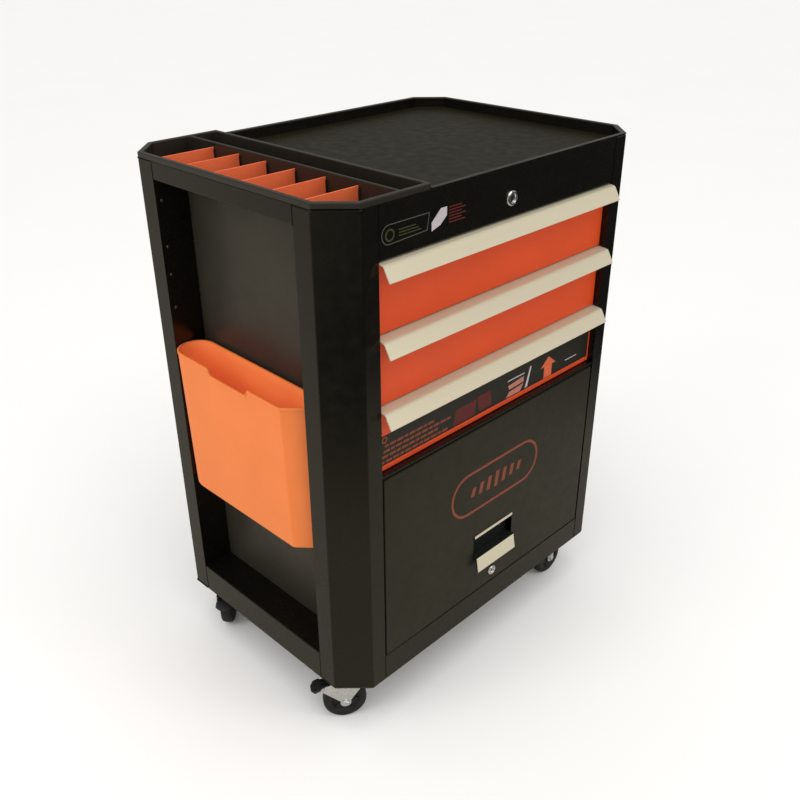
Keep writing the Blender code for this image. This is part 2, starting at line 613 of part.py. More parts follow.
# ------------------------------------------------------------------ door
def make_door():
    carriage = joint_frame("door_retract", DOOR_PIVOT)
    hinge = joint_frame("door_lift", DOOR_PIVOT)
    skin = open_box("door_skin", (-DOOR_HALF, FRONT, DOOR_FOOT),
                    (DOOR_HALF, FRONT + DOOR_DEPTH, DOOR_TOP), DOOR_SHEET, (0, 1, 0), CHARCOAL)
    cut(skin, box("pull_opening", (-PULL_HALF - 0.0005, FRONT - 0.01, PULL_FOOT - 0.0018),
                  (PULL_HALF + 0.0005, FRONT + 0.010, PULL_TOP + 0.0018)))
    cut(skin, cylinder("door_lock_hole", DOOR_LOCK + Vector((0, -0.01, 0)),
                       DOOR_LOCK + Vector((0, 0.01, 0)), 0.0088))
    cut(skin, cylinder("pin_holes", DOOR_PIVOT + Vector((-0.30, 0, 0)),
                       DOOR_PIVOT + Vector((0.30, 0, 0)), PIN_RADIUS + 0.0005, segments=16))

    fold = [(FRONT - SHEET - GAP, PULL_TOP + 0.006), (FRONT - SHEET - GAP, PULL_TOP),
            (FRONT + 0.0130, PULL_TOP), (FRONT + 0.0130, PULL_FOOT),
            (FRONT - 0.0075, PULL_FOOT), (FRONT - 0.0120, PULL_FOOT - 0.0275)]
    pull = sheet("door_pull", fold, "yz", -PULL_HALF, PULL_HALF, SHEET, CHAMPAGNE)

    frame = joint_frame("door_lock_turn", DOOR_LOCK)
    plug = cylinder("door_lock_plug", DOOR_LOCK + Vector((0, -0.0020, 0)),
                    DOOR_LOCK + Vector((0, 0.0200, 0)), 0.0085, CHROME)
    head = cylinder("door_lock_head", DOOR_LOCK + Vector((0, -0.0035, 0)),
                    DOOR_LOCK + Vector((0, -GAP, 0)), 0.0098)
    cam = box("door_lock_cam", DOOR_LOCK + Vector((-0.006, 0.0184, -0.006)),
              DOOR_LOCK + Vector((0.035, 0.0206, 0.006)))
    keyway = box("door_keyway", DOOR_LOCK + Vector((-0.0012, -0.006, -0.004)),
                 DOOR_LOCK + Vector((0.0012, -0.0012, 0.004)))
    cut(unite(plug, head, cam), keyway)
    carry(frame, plug)
    carry(hinge, skin, pull, frame)

    for name, sign in (("left", -1), ("right", 1)):
        along = Vector((sign, 0, 0))
        pin = cylinder(name + "_door_roller", DOOR_PIVOT + along * 0.2580,
                       DOOR_PIVOT + along * 0.2785, PIN_RADIUS, ZINC, segments=16)
        disc = cylinder(name + "_roller_disc", DOOR_PIVOT + along * 0.2715,
                        DOOR_PIVOT + along * 0.2785, ROLLER_RADIUS)
        unite(pin, disc)
        carry(carriage, pin)

        wall, reach, clear = INNER_WALL - SHEET - GAP, 0.2705, ROLLER_RADIUS + 0.0005
        path = [(sign * reach, DOOR_PIVOT.z - clear - SHEET),
                (sign * wall, DOOR_PIVOT.z - clear - SHEET),
                (sign * wall, DOOR_PIVOT.z + clear + SHEET),
                (sign * reach, DOOR_PIVOT.z + clear + SHEET)]
        if sign < 0:
            path.reverse()
        sheet(name + "_door_track", path, "xz", FRONT + 0.0022, TRACK_REAR, SHEET, ZINC)


# ------------------------------------------------------------------ casters
def caster_matrix(place, heading):
    """Caster frame: u along the trail, v across, w up, at the swivel axis on the floor."""
    return Matrix.Translation(place) @ Matrix.Rotation(math.radians(heading), 4, "Z")


def at(matrix, u, v, w):
    return matrix @ Vector((u, v, w))


def leg_outline(axle_u, top, front, back, cheek):
    bottom = arc((axle_u, WHEEL_RADIUS), BOSS_RADIUS, 20, -200, 12)
    return [(back, top), (front, top)] + cheek + bottom


def fork_legs(name, matrix, axle_u, top, front, back, cheek=()):
    """Two legs and the axle between them; a cheek carries the leg on over the tyre."""
    pieces = []
    for side, sign in (("a", -1), ("b", 1)):
        near, far = sign * FORK_GAP, sign * (FORK_GAP + FORK_SHEET)
        outline = leg_outline(axle_u, top, front, back, list(cheek))
        pieces.append(prism(f"{name}_leg_{side}", outline, "xz", min(near, far),
                            max(near, far), matrix=matrix))
    reach = FORK_GAP + FORK_SHEET + 0.002
    pieces.append(cylinder(name + "_axle", at(matrix, axle_u, -reach, WHEEL_RADIUS),
                           at(matrix, axle_u, reach, WHEEL_RADIUS), AXLE_RADIUS, segments=16))
    return pieces


def crown(name, matrix, half_length, low, high, half_width, spec):
    bm = bmesh.new()
    bmesh.ops.create_cube(bm, size=1.0)
    bmesh.ops.scale(bm, vec=(2 * half_length, 2 * half_width, high - low), verts=bm.verts)
    bmesh.ops.translate(bm, vec=(0, 0, (high + low) / 2), verts=bm.verts)
    bmesh.ops.transform(bm, matrix=matrix, verts=bm.verts)
    return finish_mesh(name, bm, spec)


def make_wheel(name, matrix, axle_u):
    half = WHEEL_WIDTH / 2
    bore = AXLE_RADIUS + 0.0004
    profile = [(WHEEL_RADIUS - 0.003, half), (WHEEL_RADIUS, half - 0.004),
               (WHEEL_RADIUS, -half + 0.004), (WHEEL_RADIUS - 0.003, -half),
               (0.024, -half), (0.022, -half + 0.003), (0.010, -half + 0.003),
               (0.009, -half), (bore, -half), (bore, half), (0.009, half),
               (0.010, half - 0.003), (0.022, half - 0.003), (0.024, half)]
    frame = joint_frame(name + "_roll", at(matrix, axle_u, 0, WHEEL_RADIUS))
    axis = matrix.to_3x3() @ Vector((0, 1, 0))
    wheel = turned(name, profile, frame.location, axis, RUBBER)
    carry(frame, wheel)
    return frame


def bolted_plate(name, place, half_x, half_y, bolt_x, bolt_y):
    """A flat plate with a hexagon bolt head near each corner."""
    plate = box(name, place + Vector((-half_x, -half_y, PLATE_FOOT)),
                place + Vector((half_x, half_y, PLATE_TOP)), ZINC)
    for number, (side, end) in enumerate(((-1, -1), (1, -1), (1, 1), (-1, 1))):
        spot = place + Vector((side * bolt_x, end * bolt_y, PLATE_FOOT))
        unite(plate, cylinder(f"{name}_bolt_{number}", spot + Vector((0, 0, -BOLT_HEIGHT)),
                              spot + Vector((0, 0, 0.001)), BOLT_RADIUS, segments=6))
    return plate


def make_swivel_caster(name, place, heading):
    matrix = caster_matrix(place, heading)
    bolted_plate(name + "_caster_plate", place, *SWIVEL_PLATE)

    swivel = joint_frame(name + "_swivel", place)
    fork = crown(name + "_fork", matrix, CROWN_HALF + 0.0006, CROWN_TOP - CROWN_SHEET, CROWN_TOP,
                 FORK_GAP + FORK_SHEET - 0.0004, ZINC)
    race = cylinder(name + "_race", place + Vector((0, 0, CROWN_TOP - 0.001)),
                    place + Vector((0, 0, PLATE_FOOT - GAP)), RACE_RADIUS)
    cheek = [(CHEEK_END - 0.0045, 0.0790), (CHEEK_END, 0.0680)]
    unite(fork, *fork_legs(name, matrix, TRAIL, CROWN_TOP - 0.001, CROWN_HALF, -CROWN_HALF,
                           cheek), race)
    carry(swivel, fork)
    carry(swivel, make_wheel(name + "_wheel", matrix, TRAIL))

    hinge = joint_frame(name + "_brake", at(matrix, PEDAL_HINGE[0], 0, PEDAL_HINGE[1]))
    local = matrix @ Matrix.Translation((PEDAL_HINGE[0], 0, PEDAL_HINGE[1]))
    local = local @ Matrix.Rotation(math.radians(PEDAL_SLOPE), 4, "Y")
    outline = [(-PEDAL_HEEL, -PEDAL_HALF), (PEDAL_LENGTH, -PEDAL_HALF),
               (PEDAL_LENGTH, PEDAL_HALF), (-PEDAL_HEEL, PEDAL_HALF)]
    pedal = prism(name + "_brake_pedal", outline, "xy", -PEDAL_SHEET / 2, PEDAL_SHEET / 2,
                  NYLON, matrix=local)
    droop = local @ Matrix.Translation((PEDAL_LENGTH - 0.002, 0, 0))
    droop = droop @ Matrix.Rotation(math.radians(PAD_DROOP), 4, "Y")
    root, neck = PEDAL_HALF - 0.001, 0.003
    shoulder, side, tip = PAD_LENGTH - 0.006, PAD_HALF, 0.006
    outline = [(0, -root), (neck, -side), (shoulder, -side), (PAD_LENGTH, -tip),
               (PAD_LENGTH, tip), (shoulder, side), (neck, side), (0, root)]
    pad = prism(name + "_brake_pad", outline, "xy", -PAD_SHEET / 2, PAD_SHEET / 2, matrix=droop)
    ends = [at(matrix, PEDAL_HINGE[0], side * (FORK_GAP - GAP), PEDAL_HINGE[1]) for side in (-1, 1)]
    pin = cylinder(name + "_brake_pin", *ends, PIN_OF_BRAKE, segments=12)
    unite(pedal, pad, pin)
    carry(hinge, pedal)
    carry(swivel, hinge)


def make_rigid_caster(name, place):
    matrix = caster_matrix(place, 0)
    fork = bolted_plate(name + "_fork", place, *RIGID_PLATE)
    unite(fork, *fork_legs(name, matrix, 0.0, PLATE_FOOT + 0.001, 0.024, -0.024))
    make_wheel(name + "_wheel", matrix, 0.0)


def make_casters():
    front, rear = FRONT + CASTER_INSET, REAR - CASTER_INSET
    make_swivel_caster("front_left", Vector((SWIVEL_X, front, 0)), FRONT_HEADING)
    make_swivel_caster("rear_left", Vector((SWIVEL_X, rear, 0)), REAR_HEADING)
    make_rigid_caster("front_right", Vector((RIGID_X, front, 0)))
    make_rigid_caster("rear_right", Vector((RIGID_X, rear, 0)))


make_frame()
make_niche_rails()
make_top_pan()
make_side_tray()
make_side_bin()
make_racks()
for drawer in range(DRAWERS):
    make_drawer(drawer)
make_drawer_lock()
make_door()
make_casters()

for part in PARTS.objects:
    if part.type == "MESH":
        part.data.shade_smooth()
        part.data.set_sharp_from_angle(angle=math.radians(30))

# The origin stays under the middle of the whole chest, with the bin that stands out of its side.
for made in bpy.context.scene.objects:
    if made.parent is None:
        made.location.x += (-HALF - BIN_OUT) / 2
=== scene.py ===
"""Looks of the rolling tool chest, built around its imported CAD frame.

Row frame, metres: X to the right, Y to the back, Z up. Each sheet metal node is shown
with its folds rounded and its cut edges eased; moulded, turned and printed pieces have
meshes of their own. All finishes are procedural.
"""
import json
import math

import bmesh
import bpy
from mathutils import Matrix, Vector


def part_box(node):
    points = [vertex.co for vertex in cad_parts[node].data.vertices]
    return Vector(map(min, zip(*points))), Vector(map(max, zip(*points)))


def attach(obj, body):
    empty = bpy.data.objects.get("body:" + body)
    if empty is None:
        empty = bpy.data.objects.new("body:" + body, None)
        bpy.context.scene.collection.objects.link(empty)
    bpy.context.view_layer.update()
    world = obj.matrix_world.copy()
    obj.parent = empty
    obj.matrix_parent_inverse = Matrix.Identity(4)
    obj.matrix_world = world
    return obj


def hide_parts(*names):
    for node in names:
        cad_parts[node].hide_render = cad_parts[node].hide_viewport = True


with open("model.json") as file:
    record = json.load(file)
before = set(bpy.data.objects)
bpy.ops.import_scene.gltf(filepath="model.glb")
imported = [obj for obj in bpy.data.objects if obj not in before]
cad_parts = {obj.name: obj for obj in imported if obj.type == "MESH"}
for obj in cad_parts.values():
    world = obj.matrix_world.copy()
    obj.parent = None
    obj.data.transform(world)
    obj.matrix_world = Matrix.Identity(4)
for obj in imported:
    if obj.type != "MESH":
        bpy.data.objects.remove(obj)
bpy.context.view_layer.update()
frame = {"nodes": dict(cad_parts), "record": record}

NODES = frame["nodes"]
RECORD = frame["record"]
SLOT_OF = {item["node"]: item["material_slot"] for item in RECORD["subparts"]}
BODY_OF = {node: body for body, members in RECORD["behaviour"]["bodies"].items()
           for node in members}
JOINTS = {joint["name"]: joint for joint in RECORD["behaviour"]["joints"]}
MM = 0.001


def low(node):
    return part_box(node)[0]


def high(node):
    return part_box(node)[1]


def middle(node):
    return (low(node) + high(node)) / 2


FRONT = low("front_fascia").y             # plane of the front frame
REAR = high("right_side_panel").y
GROUND = low("base_plate").z              # underside of the cabinet
MIDDLE = middle("front_fascia").x         # the cabinet's own middle; the bin stands out of it


# -------------------- finishes
def with_values(node, **sockets):
    """Set values on a shader node's own sockets."""
    for socket, value in sockets.items():
        node.inputs[socket.replace("_", " ")].default_value = value
    return node


class Finish:
    """A Principled material, with short calls that add procedural detail to it."""

    def __init__(self, name, colour, roughness, **sockets):
        self.material = bpy.data.materials.new(name)
        self.material.use_nodes = True
        self.tree = self.material.node_tree
        self.shader = with_values(self.tree.nodes["Principled BSDF"], Roughness=roughness,
                                  Base_Color=(*colour, 1.0), **sockets)
        self.colour = colour
        self.roughness = roughness
        self.place = None

    def link(self, source, target):
        self.tree.links.new(source, target)

    def node(self, kind, **sockets):
        return with_values(self.tree.nodes.new("ShaderNode" + kind), **sockets)

    def coordinates(self, stretch=(1, 1, 1)):
        """Object coordinates, in metres, stretched along the axes."""
        if self.place is None:
            self.place = self.node("TexCoord").outputs["Object"]
        mapping = self.node("Mapping", Scale=stretch)
        self.link(self.place, mapping.inputs["Vector"])
        return mapping.outputs["Vector"]

    def noise(self, scale, detail=2.0, stretch=(1, 1, 1)):
        texture = self.node("TexNoise", Scale=scale, Detail=detail)
        self.link(self.coordinates(stretch), texture.inputs["Vector"])
        return texture.outputs["Fac"]

    def cells(self, scale, output="Distance"):
        texture = self.node("TexVoronoi", Scale=scale)
        self.link(self.coordinates(), texture.inputs["Vector"])
        return texture.outputs[output]

    def spread(self, fac, start, end, first=0.3, last=0.7):
        """Map first to last, a texture's middle range, onto start to end."""
        made = self.node("MapRange", From_Min=first, From_Max=last, To_Min=start, To_Max=end)
        self.link(fac, made.inputs["Value"])
        return made.outputs["Result"]

    def vary_roughness(self, fac, amount):
        self.link(self.spread(fac, self.roughness - amount, self.roughness + amount),
                  self.shader.inputs["Roughness"])

    def vary_colour(self, fac, darker, lighter):
        """The colour drifts between two shades of itself."""
        mix = self.node("Mix")
        mix.data_type = "RGBA"
        shades = {"A": darker, "B": lighter}
        for socket in mix.inputs:
            if socket.type == "RGBA" and socket.name in shades:
                shade = [min(1.0, c * shades[socket.name]) for c in self.colour]
                socket.default_value = (*shade, 1.0)
        self.link(self.spread(fac, 0.0, 1.0), mix.inputs["Factor"])
        colour = [s for s in mix.outputs if s.type == "RGBA"][0]
        self.link(colour, self.shader.inputs["Base Color"])

    def relief(self, *layers):
        """Bump from several heights: (texture output, strength, depth in metres)."""
        normal = None
        for height, strength, depth in layers:
            bump = self.node("Bump", Strength=strength, Distance=depth)
            self.link(height, bump.inputs["Height"])
            if normal:
                self.link(normal, bump.inputs["Normal"])
            normal = bump.outputs["Normal"]
        self.link(normal, self.shader.inputs["Normal"])


def powder_coat(name, colour, roughness, specular, peel=0.10, drift=0.12):
    """Stoved powder paint: orange peel a couple of millimetres wide and a fine grit."""
    made = Finish(name, colour, roughness, Specular_IOR_Level=specular)
    made.vary_colour(made.noise(9, detail=4), 1 - drift, 1 + drift)
    made.vary_roughness(made.noise(60, detail=5), 0.06)
    made.relief((made.noise(420, detail=2), peel, 0.15 * MM),
                (made.noise(1800, detail=1), peel / 2, 0.05 * MM))
    return made.material


def moulded(name, colour, roughness, specular, grain=0.10, **sockets):
    """Moulded plastic with the fine spark-eroded grain of its mould."""
    made = Finish(name, colour, roughness, Specular_IOR_Level=specular, **sockets)
    made.vary_colour(made.noise(14, detail=3), 0.97, 1.03)
    made.vary_roughness(made.noise(90, detail=4), 0.04)
    made.relief((made.cells(1500), grain, 0.06 * MM),
                (made.noise(40, detail=2), 0.015, 0.4 * MM))
    return made.material


def brushed_anodised(name, colour, roughness):
    """Extruded aluminium, brushed along X and anodised."""
    made = Finish(name, colour, roughness, Metallic=0.20)
    lines = made.noise(1.0, detail=2, stretch=(9, 1300, 1300))
    made.vary_colour(lines, 0.975, 1.02)
    made.vary_roughness(made.noise(1.0, detail=2, stretch=(7, 600, 600)), 0.05)
    made.relief((lines, 0.03, 0.03 * MM))
    return made.material


def zinc_plate(name, colour, roughness):
    """Zinc plate: faint crystal patches and a milky bloom."""
    made = Finish(name, colour, roughness, Metallic=1.0)
    made.vary_colour(made.cells(260, output="Color"), 0.93, 1.05)
    made.vary_roughness(made.noise(120, detail=4), 0.08)
    made.relief((made.noise(700, detail=2), 0.06, 0.05 * MM))
    return made.material


def polished_chrome(name, colour, roughness):
    made = Finish(name, colour, roughness, Metallic=1.0)
    made.vary_colour(made.noise(300, detail=3), 0.95, 1.03)
    made.vary_roughness(made.noise(220, detail=4), 0.035)
    made.relief((made.noise(900, detail=2), 0.02, 0.03 * MM))
    return made.material


def tread_rubber(name, colour, roughness):
    made = Finish(name, colour, roughness, Specular_IOR_Level=0.3)
    made.vary_colour(made.noise(80, detail=5), 0.7, 1.7)
    made.vary_roughness(made.noise(160, detail=4), 0.08)
    made.relief((made.noise(600, detail=4), 0.15, 0.12 * MM))
    return made.material


def printed(name, colour, roughness=0.42):
    """Ink on a thin film: an even colour with the halftone's faint mottle."""
    made = Finish(name, colour, roughness, Specular_IOR_Level=0.35)
    made.vary_colour(made.noise(500, detail=3), 0.88, 1.12)
    made.vary_roughness(made.noise(50, detail=3), 0.04)
    made.relief((made.noise(90, detail=2), 0.03, 0.2 * MM))
    return made.material


# Each call gives the colour, the roughness and, for paint and plastic, the specular level.
WARM_SHEEN = (1.0, 0.90, 0.66, 1.0)

FRAME_BLACK = powder_coat("frame_black", (0.0040, 0.0038, 0.0032), 0.24, 0.36, peel=0.025)
PANEL_BLACK = powder_coat("panel_black", (0.0125, 0.0114, 0.0064), 0.36, 0.27, peel=0.05)
# A lighter, warmer copy of the charcoal panel coat for the niche's wall: painted light.
LIT_NICHE_BLACK = powder_coat("lit_niche_black", (0.0330, 0.0295, 0.0230), 0.36, 0.30, peel=0.05)
PAN_FLOOR = powder_coat("pan_floor", (0.0115, 0.0105, 0.0042), 0.46, 0.17, peel=0.07)
for coat in (FRAME_BLACK, PANEL_BLACK, LIT_NICHE_BLACK, PAN_FLOOR):
    with_values(coat.node_tree.nodes["Principled BSDF"], Specular_Tint=WARM_SHEEN)
ORANGE = powder_coat("drawer_orange", (0.67, 0.069, 0.012), 0.36, 0.36, peel=0.05, drift=0.035)
# The dividers wear the drawers' orange paint; this lighter copy is painted light, for their upward
# faces that catch more light.
LIT_DIVIDER_ORANGE = powder_coat("lit_divider_orange", (1.0, 0.185, 0.065), 0.40, 0.36, peel=0.05,
                             drift=0.035)
BIN_ORANGE = moulded("bin_orange", (0.86, 0.215, 0.045), 0.44, 0.36, Subsurface_Weight=0.12,
                     Subsurface_Scale=0.004)
# Inside, the bin is a lighter copy of its orange with a little light of its own: painted light
# that stands for the light that comes through the thin wall.
BIN_INSIDE = moulded("bin_inside", (1.0, 0.270, 0.075), 0.50, 0.30,
                     Emission_Color=(1.0, 0.36, 0.13, 1.0), Emission_Strength=0.06)
TRAY_BLACK = moulded("tray_black", (0.020, 0.0165, 0.0120), 0.34, 0.40, grain=0.12)
NYLON = moulded("black_nylon", (0.008, 0.008, 0.008), 0.40, 0.45)
CHAMPAGNE = brushed_anodised("champagne_aluminium", (0.635, 0.575, 0.425), 0.42)
ZINC = zinc_plate("zinc_plate", (0.80, 0.82, 0.85), 0.24)
DULL_ZINC = zinc_plate("dull_zinc", (0.16, 0.16, 0.15), 0.45)
CHROME = polished_chrome("chrome", (0.78, 0.78, 0.77), 0.12)
# Near black: painted shade for the hollow of a keyway.
DARK = moulded("painted_keyway_shade", (0.004, 0.004, 0.004), 0.60, 0.15)
# Near black and glossy, for the hollow faces of the door's pull.
NEAR_BLACK_GLOSS = moulded("near_black_gloss_recess", (0.010, 0.012, 0.010), 0.12, 0.50, grain=0.02)
RUBBER = tread_rubber("wheel_rubber", (0.010, 0.010, 0.010), 0.46)
INK_BLACK = printed("ink_black", (0.016, 0.015, 0.010))
INK_ORANGE = printed("ink_orange", (0.62, 0.105, 0.035))
INK_RUST = printed("ink_rust", (0.20, 0.040, 0.016))
INK_PALE = printed("ink_pale", (0.46, 0.42, 0.44))
INK_BLUSH = printed("ink_blush", (0.44, 0.16, 0.115))
INK_RED = printed("ink_red", (0.10, 0.010, 0.008))
INK_OLIVE = printed("ink_olive", (0.038, 0.044, 0.014))
INK_GREY = printed("ink_grey", (0.070, 0.075, 0.062))

LOOK_OF = {"cabinet_black": FRAME_BLACK, "panel_charcoal": PANEL_BLACK, "drawer_orange": ORANGE,
           "bin_orange": BIN_ORANGE, "tray_black": TRAY_BLACK, "handle_champagne": CHAMPAGNE,
           "zinc": ZINC, "chrome": CHROME, "wheel_rubber": RUBBER, "pedal_black": NYLON}


# -------------------- pieces
def put_in(name, data):
    made = bpy.data.objects.new(name, data)
    bpy.context.scene.collection.objects.link(made)
    return made


def settle(name, mesh, looks, body, slot, stands_for=(), sharp=35):
    """Turn a mesh into a piece: smooth shaded, painted, and riding on its body. Edges that
    turn more than sharp degrees stay sharp."""
    made = put_in(name, mesh)
    for look in (looks if isinstance(looks, (list, tuple)) else [looks]):
        mesh.materials.append(look)
    mesh.shade_smooth()
    if sharp:
        mesh.set_sharp_from_angle(angle=math.radians(sharp))
    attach(made, body)
    if stands_for:
        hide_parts(*stands_for)
    return made


def block(corner, size, bm=None, matrix=None):
    """A box from its low corner; matrix moves it on."""
    bm = bm or bmesh.new()
    made = bmesh.ops.create_cube(bm, size=1.0)["verts"]
    bmesh.ops.scale(bm, vec=Vector(size), verts=made)
    bmesh.ops.translate(bm, vec=Vector(corner) + Vector(size) / 2, verts=made)
    if matrix:
        bmesh.ops.transform(bm, matrix=matrix, verts=made)
    return bm


def mesh_from(name, bm):
    bmesh.ops.recalc_face_normals(bm, faces=bm.faces)
    mesh = bpy.data.meshes.new(name)
    bm.to_mesh(mesh)
    bm.free()
    return mesh


def build(name, bm, *looks_and_body, **more):
    """settle() for a bmesh."""
    return settle(name, mesh_from(name, bm), *looks_and_body, **more)


def level_flats(piece):
    """Flat faces keep their own normal, and only the rounded edges' normals turn."""
    weighted = piece.modifiers.new("flats", "WEIGHTED_NORMAL")
    weighted.mode = "FACE_AREA"
    weighted.weight = 100
    weighted.keep_sharp = True
    return piece


def ease(piece, width, segments=2, angle=30):
    bevel = piece.modifiers.new("ease", "BEVEL")
    bevel.width = width
    bevel.segments = segments
    bevel.limit_method = "ANGLE"
    bevel.angle_limit = math.radians(angle)
    return level_flats(piece)


# -------------------- sheet metal
WIDEST = 8 * MM                    # the rounding that a bevel weight of 1 stands for
WELD = 0.01 * MM                   # corners nearer than this are one
GENTLE = math.radians(14)          # smaller turns than this are left alone
STEEPEST = 2.4                     # radians; sharper turns are rounded as if they were this
FACE_SHARE, RIM_SHARE = 0.45, 0.3  # the most of a face that one rounding takes
UPRIGHT = 0.9                      # the least vertical part of an upright direction
SHEET, THIN_SHEET, PLATE = 1.5 * MM, 1.2 * MM, 2 * MM
SEAM = 0.15 * MM                   # half the joint between two painted pieces
POST_FOLD, RAIL_FOLD, PANEL_FOLD, FLAT_FOLD = 3.0 * MM, 2.0 * MM, 1.8 * MM, 0.4 * MM
TIGHT_FOLD, RAIL_LIP = 0.25 * MM, 2.2 * MM
DIVIDERS = [f"tray_divider_{number}" for number in range(1, 7)]


def direction(edge):
    return (edge.verts[1].co - edge.verts[0].co).normalized()


def is_upright(edge):
    return abs(direction(edge).z) > UPRIGHT


def face_span(face, edge):
    """How far a face reaches from one of its edges."""
    along = direction(edge)
    arms = [corner.co - edge.verts[0].co for corner in face.verts]
    return max((arm - along * arm.dot(along)).length for arm in arms)


def refined(node, fold, sheet=SHEET, rim=0.35 * MM, looks=None, radius_at=None):
    """A CAD node's own mesh with every fold rounded to fold and its cut edges eased."""
    bm = bmesh.new()
    bm.from_mesh(NODES[node].data)
    bmesh.ops.remove_doubles(bm, verts=bm.verts, dist=WELD)
    bmesh.ops.dissolve_limit(bm, angle_limit=math.radians(1), verts=bm.verts, edges=bm.edges,
                             delimit=set())
    weight = bm.edges.layers.float.new("bevel_weight_edge")
    for edge in bm.edges:
        turn = edge.calc_face_angle_signed(0.0)
        if len(edge.link_faces) != 2 or abs(turn) < GENTLE:
            continue
        span = min(face_span(face, edge) for face in edge.link_faces)
        if span < 1.5 * sheet:
            radius = min(rim, RIM_SHARE * span)
        else:
            radius = fold if turn > 0 else max(fold - sheet, rim)
        if radius_at:
            radius = radius_at(edge, turn, radius)
        offset = min(radius * math.tan(min(abs(turn), STEEPEST) / 2), FACE_SHARE * span)
        edge[weight] = min(offset / WIDEST, 1.0)
    mesh = bpy.data.meshes.new(node + "_mesh")
    bm.to_mesh(mesh)
    bm.free()
    piece = settle(node + "_look", mesh, looks or LOOK_OF[SLOT_OF[node]], BODY_OF[node],
                   SLOT_OF[node], [node], sharp=None)
    bevel = piece.modifiers.new("folds", "BEVEL")
    bevel.limit_method = "WEIGHT"
    bevel.width = WIDEST
    bevel.segments = 4
    bevel.use_clamp_overlap = False
    return level_flats(piece)


def make_sheet_metal():
    fascia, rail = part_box("front_fascia"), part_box("niche_top_rail")

    def beside_rails(edge, turn, radius):
        """The lips that meet the rails are folded tight, the outer corners wide."""
        spot = edge.verts[0].co
        apart = [abs(spot.x - end.x) for end in fascia] + [abs(spot.y - end.y) for end in rail]
        return min(radius, TIGHT_FOLD) if min(apart) < RAIL_LIP else radius

    for node in ("front_left_post", "rear_left_post", "right_side_panel"):
        refined(node, POST_FOLD, rim=SEAM, radius_at=beside_rails)
    for node in ("niche_top_rail", "niche_bottom_rail", "front_fascia", "compartment_floor"):
        refined(node, RAIL_FOLD, rim=SEAM)
    for node in ("middle_rail", "right_inner_panel"):
        refined(node, PANEL_FOLD, rim=SEAM)
    # The niche's wall takes the lighter copy of the panel coat, painted light.
    refined("left_inner_panel", PANEL_FOLD, rim=SEAM, looks=LIT_NICHE_BLACK)
    refined("back_panel", FLAT_FOLD)
    refined("base_plate", FLAT_FOLD, radius_at=base_corners)
    for index in (1, 2, 3):
        name = f"drawer_{index}"
        refined(name + "_front", 1.6 * MM, THIN_SHEET)
        refined(name + "_box", 1.4 * MM, THIN_SHEET)
        for side in ("_left", "_right"):
            refined(name + side + "_slide", 1.6 * MM, THIN_SHEET, 0.3 * MM)
    for node in ("left_slide_rack", "right_slide_rack", "left_door_track", "right_door_track"):
        refined(node, 0.5 * MM, rim=0.3 * MM)
    refined("lock_bar", 0.5 * MM, PLATE)
    # The dividers take the lighter copy of the orange, painted light.
    for node in DIVIDERS:
        refined(node, 0.5 * MM, PLATE, looks=LIT_DIVIDER_ORANGE)
    refined("door_skin", PANEL_FOLD, THIN_SHEET)


def base_corners(edge, turn, radius):
    """The base plate's upright corners are round."""
    return 5 * MM if is_upright(edge) else radius


def make_seam_fillers():
    """Paint bridges the hairline joints between the posts and the rails they carry."""
    bm = bmesh.new()
    half, skin, depth = 0.5 * MM, 0.05 * MM, 1.1 * MM
    for node in ("front_fascia", "compartment_floor"):
        (x0, y0, z0), (x1, y1, z1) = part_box(node)
        for x in (x0 - SEAM, x1 + SEAM):
            block((x - half, FRONT + skin, z0), (2 * half, depth, z1 - z0), bm)
    for node in ("niche_top_rail", "niche_bottom_rail"):
        (x0, y0, z0), (x1, y1, z1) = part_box(node)
        for y in (y0 - SEAM, y1 + SEAM):
            block((x0 + skin, y - half, z0), (depth, 2 * half, z1 - z0), bm)
    fillers = build("seam_fillers", bm, FRAME_BLACK, "cabinet", "cabinet_black")
    ease(fillers, 0.03 * MM, 1)


def make_door_pull():
    """A champagne lip and trim around a dark recess."""
    pull = refined("door_pull", RAIL_FOLD, looks=[CHAMPAGNE, NEAR_BLACK_GLOSS])
    for face in pull.data.polygons:
        # Faces behind the front, and the upward ledge low in the pull, are coloured near black.
        inside = face.center.y > FRONT + 1.0 * MM
        sill = face.normal.z > UPRIGHT and face.center.z < middle("door_pull").z
        if inside or sill:
            face.material_index = 1


def make_top_pan():
    """A black rim around a duller floor."""
    pan = refined("top_pan", PANEL_FOLD, looks=[FRAME_BLACK, PAN_FLOOR])
    floor_top = low("top_pan").z + 2 * MM
    for face in pan.data.polygons:
        if face.normal.z > UPRIGHT and face.center.z < floor_top:
            face.material_index = 1


# -------------------- side tray
def make_side_tray():
    """The moulded tray: soft rim and pocket corners, and guide ribs beside each divider."""
    rim_top = high("side_tray").z
    pocket_corner, outer_corner, rim_edge, other_edge = 3.5 * MM, 5.0 * MM, 1.6 * MM, 0.8 * MM

    def radius_at(edge, turn, radius):
        if is_upright(edge):
            return pocket_corner if turn < 0 else outer_corner
        lower_end = min(corner.co.z for corner in edge.verts)
        return rim_edge if lower_end > rim_top - 0.2 * MM else other_edge

    refined("side_tray", 1.5 * MM, SHEET, 0.6 * MM, radius_at=radius_at)
    bm = bmesh.new()
    thick, gap, short = 1.4 * MM, 0.3 * MM, 3 * MM
    for node in DIVIDERS:
        (x0, y0, z0), (x1, y1, z1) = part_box(node)
        for x, reach in ((x0 - 0.4 * MM, 2.4 * MM), (x1 - 1.6 * MM, 2.2 * MM)):
            for y in (y0 - gap - thick, y1 + gap):
                block((x, y, z0), (reach, thick, z1 - z0 - short), bm)
    ribs = build("tray_guide_ribs", bm, TRAY_BLACK, "cabinet", "tray_black")
    ease(ribs, 0.35 * MM)


